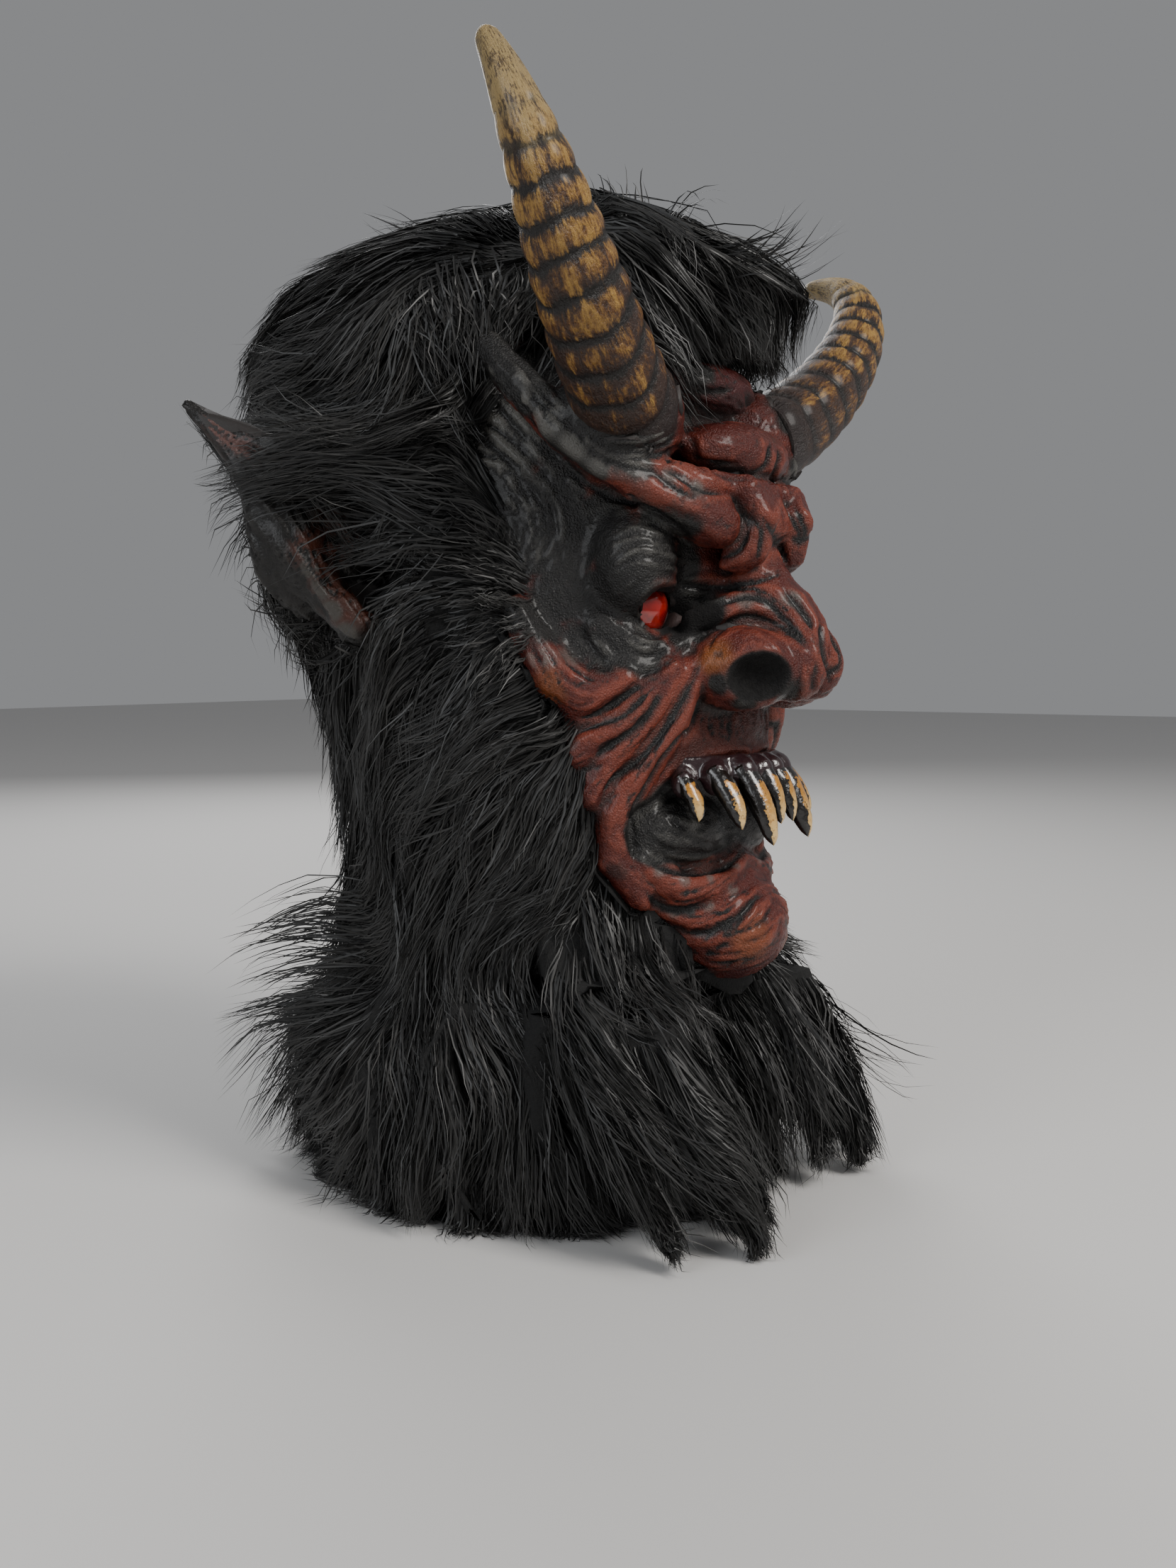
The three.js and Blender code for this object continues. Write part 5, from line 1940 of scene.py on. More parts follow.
@dataclass(frozen=True)
class Teeth:
    """Eight fangs in a dark gum along the upper lip."""

    fangs: tuple[tuple[Point, Point, float], ...] = (
        ((5.5, -108, 201), (6, -119, 176), 4.2),
        ((17, -105, 200), (18, -121, 168), 5.4),
        ((30, -98, 199), (34, -114, 176), 5.0),
        ((41, -88, 197), (43, -98, 179), 4.0),
    )
    profile: tuple[tuple[float, float], ...] = (
        (0, 1.05), (0.3, 1.08), (0.6, 0.95), (0.8, 0.76), (0.94, 0.48), (1, 0.2),
    )
    bow: float = 2.0
    stout: float = 1.12
    rings: int = 30
    sides: int = 22
    gum_half: float = 46
    gum_depth: float = 40
    gum_front: float = -108
    gum_z: float = 201

    def build(self, shop: Workshop) -> None:
        """Makes the gum and the fangs."""
        material = FangIvory().build()
        for side, name in ((-1, "right"), (1, "left")):
            for number, fang in enumerate(self.fangs, 1):
                self.build_fang(shop, material, f"fang_{name}_{number}", side, *fang)
        self.build_gum(shop)

    def build_fang(
        self, shop: Workshop, material: bpy.types.Material, name: str, side: int, root: Point, tip: Point, radius: float
    ) -> None:
        """Makes one fang.

        Args:
            shop: where pieces are placed.
            material: its finish.
            name: the piece's name.
            side: -1 on the right and 1 on the left.
            root: middle of the fang's root.
            tip: its point.
            radius: thickness of the root.
        """
        t = np.linspace(0, 1, self.rings)
        width = np.interp(t, *np.array(self.profile).T) * radius * self.stout
        place = np.array(root) + (np.array(tip) - root) * t[:, None]
        place[:, 1] -= self.bow * np.sin(np.pi * t)
        place[:, 0] *= side
        ahead = unit(np.gradient(place, axis=0))
        across = unit(np.cross(ahead, [0, 1, 0.2]))
        up = np.cross(ahead, across)
        angle = np.linspace(0, 2 * np.pi, self.sides, endpoint=False)
        tt, aa = np.meshgrid(t, angle, indexing="ij")
        out = across[:, None] * np.cos(aa)[..., None] + up[:, None] * np.sin(aa)[..., None] * 0.85
        body = (place[:, None] + out * width[:, None, None]).reshape(-1, 3)
        body += out.reshape(-1, 3) * (0.35 * value_noise(body, 3.0, 31))[:, None]
        point = place[-1] + ahead[-1] * width[-1]
        places = np.vstack([body, place[0], point])
        facing = unit(np.array([root[0] * side * 1.2, root[1], 0.0]))
        front = out.reshape(-1, 3) @ facing
        edge = np.maximum(1 - smooth(tt.ravel(), 0.1, 0.42), 1 - smooth(front, 0.3, 0.95))
        marks = {"along": np.append(tt.ravel(), [0, 1]), "edge": np.append(edge, [1, 0])}
        shop.piece(name, places, tube_faces(self.rings, self.sides), material, ["upper_teeth"], marks)

    def gum_field(self, p: Array) -> Array:
        """Distance to the gum's bar with knobs round the roots.

        Args:
            p: places in millimetres.

        Returns:
            One distance for each place.
        """
        arc = (np.hypot(p[:, 0] / self.gum_half, (p[:, 1] - self.gum_front - self.gum_depth) / self.gum_depth) - 1)
        wall = np.abs(arc * self.gum_depth + 5.5) - 4.5
        d = np.maximum(np.maximum(wall, np.abs(p[:, 2] - self.gum_z) - 4.5), p[:, 1] + 76)
        for root, _, radius in self.fangs:
            for side in (-1, 1):
                centre = np.array(root) * (side, 1, 1) + (0, -1, -3)
                d = join(d, np.linalg.norm((p - centre) * (1, 1, 0.8), axis=1) - radius - 1.2, 4)
        return d

    def build_gum(self, shop: Workshop) -> None:
        """Makes the gum."""
        grid = Surface((-58, -122, 184), (58, -66, 214), 1.2)
        places, quads = grid.mesh(self.gum_field)
        shop.piece("gum", places, [quads], WetGum().build(), ["upper_teeth"])


# Fur


FurLine = tuple[Pixel, ...]

CROWN_LINES: tuple[FurLine, ...] = (
    ((720, 330), (680, 322), (640, 322), (600, 330), (560, 322), (520, 305)),
    ((720, 345), (660, 350), (600, 357), (560, 375), (520, 395), (480, 412)),
    ((735, 380), (700, 400), (670, 430), (650, 470), (635, 500)),
    ((745, 400), (710, 440), (690, 480), (670, 520)),
    ((700, 370), (650, 390), (610, 430), (590, 480), (570, 540), (560, 600)),
    ((640, 370), (590, 400), (570, 440), (560, 500), (555, 560)),
    ((600, 370), (550, 400), (520, 440), (490, 480), (450, 520), (410, 545)),
    ((560, 360), (510, 385), (460, 405), (430, 430), (400, 460)),
    ((540, 420), (500, 455), (450, 480), (410, 500), (350, 497)),
    ((530, 470), (480, 520), (430, 550), (380, 560), (350, 570)),
    ((540, 500), (510, 560), (470, 580), (420, 590), (370, 590)),
    ((560, 580), (520, 600), (460, 610), (400, 600), (350, 595)),
)
EAR_LINES: tuple[FurLine, ...] = (
    ((640, 620), (560, 630), (500, 650), (440, 665), (380, 670), (320, 674)),
    ((680, 700), (620, 680), (560, 668), (500, 670)),
    ((640, 740), (590, 735), (550, 715), (510, 690), (460, 675)),
    ((680, 760), (620, 765), (560, 765), (500, 780), (450, 790)),
    ((690, 800), (640, 790), (590, 795), (550, 805)),
    ((700, 850), (650, 845), (600, 850), (570, 880), (545, 920), (530, 960), (515, 1010)),
)
CHEEK_LINES: tuple[FurLine, ...] = (
    ((720, 880), (680, 920), (640, 940), (600, 950), (550, 960)),
    ((720, 910), (680, 940), (660, 980), (640, 1020), (620, 1050), (580, 1090), (550, 1130)),
    ((750, 960), (710, 1000), (670, 1020), (640, 1060), (600, 1100), (570, 1150), (550, 1200)),
    ((790, 1010), (740, 1030), (700, 1050), (660, 1080), (620, 1120), (590, 1170), (570, 1230)),
    ((800, 1060), (750, 1070), (720, 1095), (700, 1130), (690, 1180), (670, 1230)),
    ((810, 1070), (765, 1095), (745, 1130), (735, 1180), (715, 1230)),
    ((820, 1100), (790, 1150), (760, 1200), (730, 1240), (690, 1290)),
    ((870, 1210), (840, 1240), (800, 1270), (760, 1300), (720, 1320)),
)
NAPE_LINES: tuple[FurLine, ...] = (
    ((430, 880), (440, 940), (450, 1000), (460, 1060), (465, 1110)),
    ((470, 960), (475, 1060), (480, 1160), (490, 1200)),
    ((520, 900), (520, 980), (510, 1040), (520, 1100), (535, 1160), (540, 1220), (545, 1280)),
    ((560, 1180), (560, 1260), (565, 1340), (570, 1400), (580, 1460), (590, 1520)),
    ((620, 1160), (600, 1220), (590, 1280), (590, 1340), (600, 1400), (620, 1470), (640, 1540)),
    ((700, 1180), (670, 1220), (640, 1270), (620, 1320), (610, 1360)),
    ((760, 1200), (720, 1240), (680, 1280), (650, 1320), (640, 1360), (650, 1420), (680, 1480)),
    ((800, 1240), (740, 1285), (700, 1315), (680, 1350), (690, 1400), (730, 1440), (780, 1480)),
)
RUFF_LINES: tuple[FurLine, ...] = (
    ((540, 1300), (500, 1282), (460, 1277), (420, 1285), (380, 1300)),
    ((545, 1330), (500, 1330), (450, 1322), (400, 1330), (360, 1342)),
    ((550, 1370), (500, 1360), (450, 1365), (400, 1375), (360, 1390)),
    ((550, 1390), (510, 1410), (470, 1420), (420, 1425), (380, 1440)),
    ((550, 1410), (510, 1450), (470, 1480), (430, 1492), (400, 1500)),
    ((540, 1430), (510, 1480), (480, 1530), (450, 1570)),
    ((560, 1430), (530, 1500), (510, 1560), (500, 1600), (490, 1640)),
    ((580, 1430), (560, 1500), (545, 1560), (540, 1600)),
    ((600, 1420), (600, 1500), (610, 1580), (600, 1650), (597, 1700)),
    ((640, 1430), (660, 1500), (690, 1560), (700, 1620), (697, 1690), (702, 1750)),
    ((740, 1520), (715, 1580), (690, 1640)),
    ((760, 1530), (790, 1590), (820, 1650), (830, 1720)),
)
BEARD_LINES: tuple[FurLine, ...] = (
    ((840, 1260), (845, 1310), (860, 1370), (880, 1410), (900, 1450), (930, 1500), (945, 1540), (965, 1590)),
    ((880, 1300), (890, 1370), (910, 1430), (930, 1470), (970, 1520), (1020, 1560)),
    ((930, 1320), (940, 1370), (950, 1420)),
    ((970, 1350), (975, 1390), (985, 1430)),
    ((790, 1410), (830, 1460), (860, 1500), (900, 1540), (940, 1580), (980, 1620), (1020, 1650)),
    ((700, 1420), (740, 1460), (790, 1500), (840, 1540), (890, 1590)),
    ((780, 1520), (820, 1560), (880, 1600), (930, 1640), (980, 1680)),
    ((770, 1540), (790, 1600), (810, 1650), (830, 1700)),
    ((1080, 1400), (1085, 1450), (1095, 1510), (1110, 1560)),
)
FRINGE_LINES: tuple[FurLine, ...] = (
    ((850, 312), (880, 312), (920, 330), (960, 370), (990, 400), (1010, 430), (1040, 450)),
    ((860, 330), (890, 340), (930, 370), (960, 410), (975, 430)),
    ((870, 345), (885, 370), (900, 410), (915, 440), (920, 470)),
    ((900, 302), (950, 312), (1000, 340), (1050, 360), (1080, 372)),
    ((930, 312), (980, 350), (1010, 380), (1050, 410), (1080, 450)),
)


# Places that the photograph doesn't show and the direction of the fur there
BACK_HEADINGS: tuple[tuple[Point, Point], ...] = (
    ((0, 170, 400), (0, 0.5, -1)), ((0, 190, 340), (0, 0.1, -1)), ((-40, 185, 340), (0, 0.1, -1)),
    ((-80, 150, 340), (-0.15, 0.4, -1)), ((0, 150, 280), (0, -0.3, -1)), ((-60, 130, 250), (0, -0.2, -1)),
    ((0, 120, 210), (0, -0.1, -1)), ((-50, 110, 180), (0, 0, -1)), ((0, 105, 150), (0, 0.1, -1)),
    ((0, 105, 115), (0, 0.3, -1)), ((0, 130, 80), (0, 0.6, -1)), ((0, 140, 40), (0, 0.5, -1)),
    ((-50, 125, 70), (-0.3, 0.6, -1)), ((-60, 120, 30), (-0.3, 0.4, -1)), ((-70, 90, 120), (-0.2, 0.2, -1)),
    ((0, 60, 450), (0, 1, -0.05)), ((0, 110, 440), (0, 1, -0.5)), ((0, 20, 452), (0, 0.5, 0.3)),
    ((-30, 60, 448), (-0.4, 1, -0.2)), ((-60, 80, 430), (-0.6, 1, -0.6)), ((-50, 130, 410), (-0.3, 0.8, -1)),
    ((0, -20, 445), (0, -1, -0.1)), ((0, -60, 430), (0, -0.9, -0.7)), ((0, -88, 400), (0, -0.3, -1)),
    ((-30, -60, 425), (-0.2, -0.8, -0.8)), ((-30, -85, 395), (-0.1, -0.2, -1)), ((0, -60, 90), (0, -0.3, -1)),
    ((0, -90, 40), (0, -0.4, -1)),
)


@dataclass(frozen=True)
class Wisp:
    """A loose bundle of long strands, as pixels of the photograph from its root to its tip."""

    points: FurLine
    aside: float = 0.0
    strands: int = 16
    spread: float = 4.0
    mirrored: bool = False
    cling: bool = False
    over: float = 0.8

    def paths(self, cover: Distance, rng: np.random.Generator, steps: int) -> Array:
        """Points of the strands.

        Args:
            cover: distance to what the root stands on.
            rng: source of chance.
            steps: number of points of each strand.

        Returns:
            Points from root to tip.
        """
        position = CAMERA.position()
        rays = np.array([CAMERA.ray(*p) for p in sampled(self.points, 8)])
        root = position + rays[0] * CAMERA.ray_start
        for _ in range(80):
            root = root + rays[0] * np.clip(cover(root[None]), *CAMERA.ray_step) * CAMERA.ray_share
        if abs(cover(root[None])[0]) > 3:
            LOG.warning("a wisp misses the fur: %s", self.points[0])
            return np.zeros((0, steps, 3))
        x = root[0] + self.aside * np.linspace(0, 1, len(rays))
        line = position + rays * ((x - position[0]) / rays[:, 0])[:, None]
        t = np.linspace(0, 1, steps)
        reach = rng.uniform(0.55, 1, self.strands)[:, None] * t * (len(line) - 1)
        centre = np.stack([np.interp(reach, np.arange(len(line)), line[:, i]) for i in range(3)], -1)
        start = rng.normal(0, self.spread, (self.strands, 1, 3))
        drift = rng.normal(0, self.spread * 0.9, (self.strands, 1, 3))
        bend = rng.normal(0, self.spread * 0.5, (self.strands, 1, 3))
        t = t[None, :, None]
        out = centre + start * (1 - 0.6 * t) + drift * t**1.5 + bend * np.sin(np.pi * t)
        slope = unit(gradient(cover, out[:, 0], 1.5))
        sink = (cover(out[:, 0]) + 4)[:, None]
        return self.laid(out - (slope * sink)[:, None] * (1 - t) ** 2, cover, t[0, :, 0])

    def laid(self, paths: Array, cover: Distance, t: Array) -> Array:
        """Moves strands out of the fur and the ears, and down onto them when they cling.

        Args:
            paths: points of the strands.
            cover: distance to what the strands lie on.
            t: shares of the length at the points.

        Returns:
            The moved points.
        """
        for _ in range(4):
            flat = paths.reshape(-1, 3)
            gap = cover(flat).reshape(paths.shape[:2])
            slope = unit(gradient(cover, flat, 1.5)).reshape(paths.shape)
            highest = self.over + 2.2 + 9 * t if self.cling else np.inf
            move = (np.clip(gap, self.over, highest) - gap) * smooth(t, 0, 0.3)
            paths = paths + slope * np.clip(move, -8, 8)[..., None]
        return paths


WISPS = (
    # Over the crown and the fringe
    Wisp(((985, 372), (1060, 355), (1110, 340), (1150, 320))),
    Wisp(((1050, 372), (1100, 345), (1135, 300), (1150, 280))),
    Wisp(((1060, 400), (1110, 385), (1150, 360), (1190, 325))),
    Wisp(((870, 310), (860, 278), (850, 255), (840, 245))),
    Wisp(((905, 305), (898, 275), (905, 255)), strands=10), Wisp(((940, 315), (965, 290), (990, 287), (1015, 300))),
    Wisp(((640, 340), (590, 330), (550, 318), (510, 303))), Wisp(((560, 375), (500, 385), (450, 405), (425, 430))),
    Wisp(((500, 470), (430, 490), (380, 505), (345, 500))), Wisp(((480, 550), (420, 580), (370, 592), (340, 590))),
    Wisp(((990, 400), (1030, 430), (1060, 470), (1062, 515))), Wisp(((930, 440), (945, 490), (952, 540)), strands=10),
    Wisp(((1060, 420), (1090, 455), (1095, 495))), Wisp(((960, 330), (1040, 345), (1090, 370), (1130, 420))),
    # Over the ear
    Wisp(((640, 610), (560, 648), (480, 655), (400, 658), (340, 668), (270, 690)), -58, 110, 6, True, True),
    Wisp(((590, 640), (500, 650), (420, 656), (340, 676), (235, 705)), -58, 90, 6, True, True),
    Wisp(((590, 670), (500, 672), (420, 682), (340, 700), (255, 745)), -54, 70, 6, True, True),
    Wisp(((640, 660), (570, 665), (490, 668), (410, 675), (340, 700)), -56, 90, 6, True, True),
    Wisp(((650, 735), (590, 730), (550, 712), (500, 690), (450, 680), (360, 705)), -50, 60, 5, True, True),
    Wisp(((680, 755), (620, 765), (560, 765), (500, 780), (450, 800), (405, 845)), -42, 34, 5, True, True),
    Wisp(((600, 690), (540, 720), (500, 760), (470, 800)), -30, 14, 4, True, True),
    Wisp(((640, 600), (560, 600), (470, 612), (400, 618), (330, 640)), -56, 60, 6, True, True),
    Wisp(((560, 590), (480, 602), (420, 618), (365, 628)), -40, 60, 5, True, True),
    Wisp(((640, 720), (600, 760), (570, 800), (520, 840)), -14, 20, 5, True, True),
    Wisp(((1050, 1460), (1085, 1540), (1100, 1620), (1105, 1700)), 0, 60, 7),
    Wisp(((1085, 1440), (1115, 1520), (1130, 1600), (1140, 1680)), 0, 60, 7),
    # Over the upper end of the brow
    Wisp(((640, 400), (640, 440), (655, 490), (668, 530)), -16, 70, 6, True, True, 9),
    Wisp(((690, 400), (690, 440), (700, 490), (712, 520)), -14, 70, 6, True, True, 10),
    Wisp(((600, 420), (600, 470), (620, 520), (640, 570)), -10, 60, 6, True, True, 7),
    Wisp(((740, 400), (722, 430), (700, 470), (690, 505)), -12, 70, 6, True, True, 11),
    Wisp(((750, 380), (735, 420), (725, 460), (722, 500)), -10, 50, 5, True, True, 11),
    Wisp(((600, 500), (620, 550), (650, 600), (680, 640)), -4, 30, 5, True, True),
    # Ruff at the back of the neck
    Wisp(((520, 1285), (460, 1275), (420, 1285), (380, 1300), (335, 1322)), -6, 34, 6, True),
    Wisp(((520, 1330), (450, 1322), (400, 1330), (360, 1342), (325, 1362)), -6, 34, 6, True),
    Wisp(((520, 1362), (450, 1365), (400, 1375), (360, 1390), (335, 1402)), -6, 34, 6, True),
    Wisp(((530, 1405), (470, 1420), (420, 1427), (380, 1442), (330, 1500)), -6, 34, 6, True),
    Wisp(((530, 1440), (470, 1480), (420, 1492), (385, 1505), (360, 1560)), -6, 34, 6, True),
    # Beard and cheek
    Wisp(((1085, 1240), (1130, 1262), (1175, 1290)), 0, 20, 5),
    Wisp(((1095, 1380), (1150, 1470), (1200, 1540), (1240, 1592)), 0, 26, 6),
    Wisp(((1090, 1450), (1115, 1540), (1140, 1640)), 0, 20, 5),
    Wisp(((900, 1560), (960, 1640), (1030, 1690), (1075, 1700)), -4, 26, 6, True),
    Wisp(((840, 1270), (850, 1330), (870, 1400), (905, 1460)), -4, 30, 5, True),
)


@dataclass(frozen=True)
class FurForm:
    """Outline of the fur and the room it has round the face."""

    head: HeadForm = field(default_factory=HeadForm)
    rings: tuple[tuple[float, float, float, float], ...] = (
        (0, 106, -102, 104), (25, 116, -100, 130), (70, 114, -92, 134), (113, 90, -90, 98), (160, 94, -94, 108),
        (205, 100, -96, 116), (264, 110, -98, 136), (300, 116, -100, 166), (349, 116, -102, 178),
        (390, 108, -104, 168), (420, 92, -106, 146), (438, 62, -92, 108), (446, 30, -50, 66),
    )
    body_inset: float = 8
    least: float = 13
    edge: float = 9
    rise: float = 0.9
    spread: float = 1.35
    fringe_z: float = 376
    fringe_slope: float = 2
    fringe_half: tuple[float, float] = (34, 66)
    fringe_hang: tuple[float, float] = (62, 330)
    collar_fade: tuple[float, float] = (96, 112)
    blend: float = 8
    hair_blend: float = 5
    over_ear: float = 3
    over_skin: float = 2
    ear_zone: tuple[Point, Point] = ((-math.inf, -16, 225), (-74, math.inf, 372))
    brow_zone: tuple[Point, Point] = ((-80, -math.inf, 325), (math.inf, -40, 400))
    hollow: Ball = Ball((-130, 36, 292), (30, 34, 50), 10, cut=True)
    beard: tuple[Roll, ...] = (
        Roll(((-18, -48, 112, 15), (-20, -78, 82, 16), (-19, -94, 50, 13), (-16, -106, 20, 7)), 5),
        Roll(((-44, -60, 124, 14), (-44, -90, 88, 16), (-40, -108, 52, 14), (-36, -122, 22, 7)), 5),
        Roll(((-62, -64, 126, 15), (-68, -94, 84, 18), (-66, -114, 46, 16), (-60, -130, 14, 8)), 5),
        Roll(((-74, -48, 126, 14), (-88, -72, 84, 17), (-92, -92, 46, 14), (-90, -108, 14, 7)), 5),
    )

    def outline(self, p: Array) -> Array:
        """Distance to the smooth outline of the fur."""
        z, half, front, back = np.array(self.rings, float).T
        h, f, b = (np.interp(p[:, 2], z, values) for values in (half, front, back))
        reach = (b - f) / 2
        round_ = (np.hypot(p[:, 0] / h, (p[:, 1] - (b + f) / 2) / reach) - 1) * np.minimum(h, reach)
        return np.maximum(round_, p[:, 2] - z[-1])

    def room(self, p: Array) -> Array:
        """How far a place is behind the hairline or above the fringe."""
        side = self.rise * (p[:, 1] - self.head.hairline_at(p[:, 2]))
        middle = self.fringe_slope * (p[:, 2] - self.fringe_z)
        low, high = self.fringe_half
        share = 1 - np.clip((np.abs(p[:, 0]) - low) / (high - low), 0, 1)
        return side + share * np.maximum(middle - side, 0)

    def pile(self, p: Array, plain: Array | None = None) -> Array:
        """Distance to the pile, as if it had no hairline."""
        plain = self.head.plain(p) if plain is None else plain
        full = join(self.outline(p) + self.body_inset, plain - self.least, self.blend)
        return worked((self.hollow, *self.beard), full, p)

    def body(self, p: Array) -> Array:
        """Distance to the pile, which thins out towards the hairline.

        Args:
            p: places in millimetres.

        Returns:
            One distance for each place.
        """
        plain = self.head.plain(p)
        full = self.pile(p, plain)
        room = self.room(p)
        thin = carve(carve(full, -(plain - room - self.edge) / self.spread, self.blend), room, self.hair_blend)
        hangs = (np.abs(p[:, 0]) < self.fringe_hang[0]) & (p[:, 2] > self.fringe_hang[1])
        share = np.where(hangs, 0, smooth(p[:, 2], *self.collar_fade))
        return thin * share + full * (1 - share)

    def cover(self, p: Array) -> Array:
        """Distance to what the strands lie on: the pile, the ears and the forehead.

        Args:
            p: places in millimetres.

        Returns:
            One distance for each place.
        """
        d = self.body(p)
        side = folded(p)
        near = np.flatnonzero(inside(side, *self.ear_zone))
        for form in self.head.ear:
            if not form.cut and len(near):
                d[near] = join(d[near], form.distance(side[near]) - self.over_ear, 6)
        near = np.flatnonzero(inside(side, *self.brow_zone))
        if len(near):
            d[near] = np.minimum(d[near], self.head.carved(p[near]) - self.over_skin)
        return d


@dataclass(frozen=True)
class Locks:
    """Chances shared by the strands of a lock."""

    number: Array
    lift: Array
    lean: Array
    length: Array
    phase: Array
    grey: Array

    @classmethod
    def of_size(cls, roots: Array, count: int, rng: np.random.Generator, lift: float, lean: float) -> "Locks":
        """Divides strands into locks round random ones of them.

        Args:
            roots: places of the strands.
            count: number of locks.
            rng: source of chance.
            lift: usual height of the locks' tips over the pile.
            lean: how much their directions differ.

        Returns:
            The lock of each strand and the locks' chances.
        """
        seeds = rng.choice(len(roots), count, replace=False)
        number = nearest(roots, roots[seeds])
        return cls(
            seeds[number],
            rng.gamma(1.8, lift / 1.8, count)[number],
            rng.normal(0, lean, (count, 3))[number],
            rng.uniform(0.78, 1.2, count)[number],
            rng.uniform(0, 6.3, count)[number],
            rng.beta(1.4, 2.2, count)[number],
        )


def nearest(p: Array, seeds: Array) -> Array:
    """Number of the nearest seed for each place.

    Args:
        p: places in millimetres.
        seeds: places to choose from.

    Returns:
        Row of the seed for each place.
    """
    out = np.empty(len(p), np.int64)
    seeds = seeds.astype(np.float32)
    squares = (seeds**2).sum(1)
    for part in np.array_split(np.arange(len(p)), max(len(p) // 2000, 1)):
        out[part] = (squares - 2 * p[part].astype(np.float32) @ seeds.T).argmin(1)
    return out


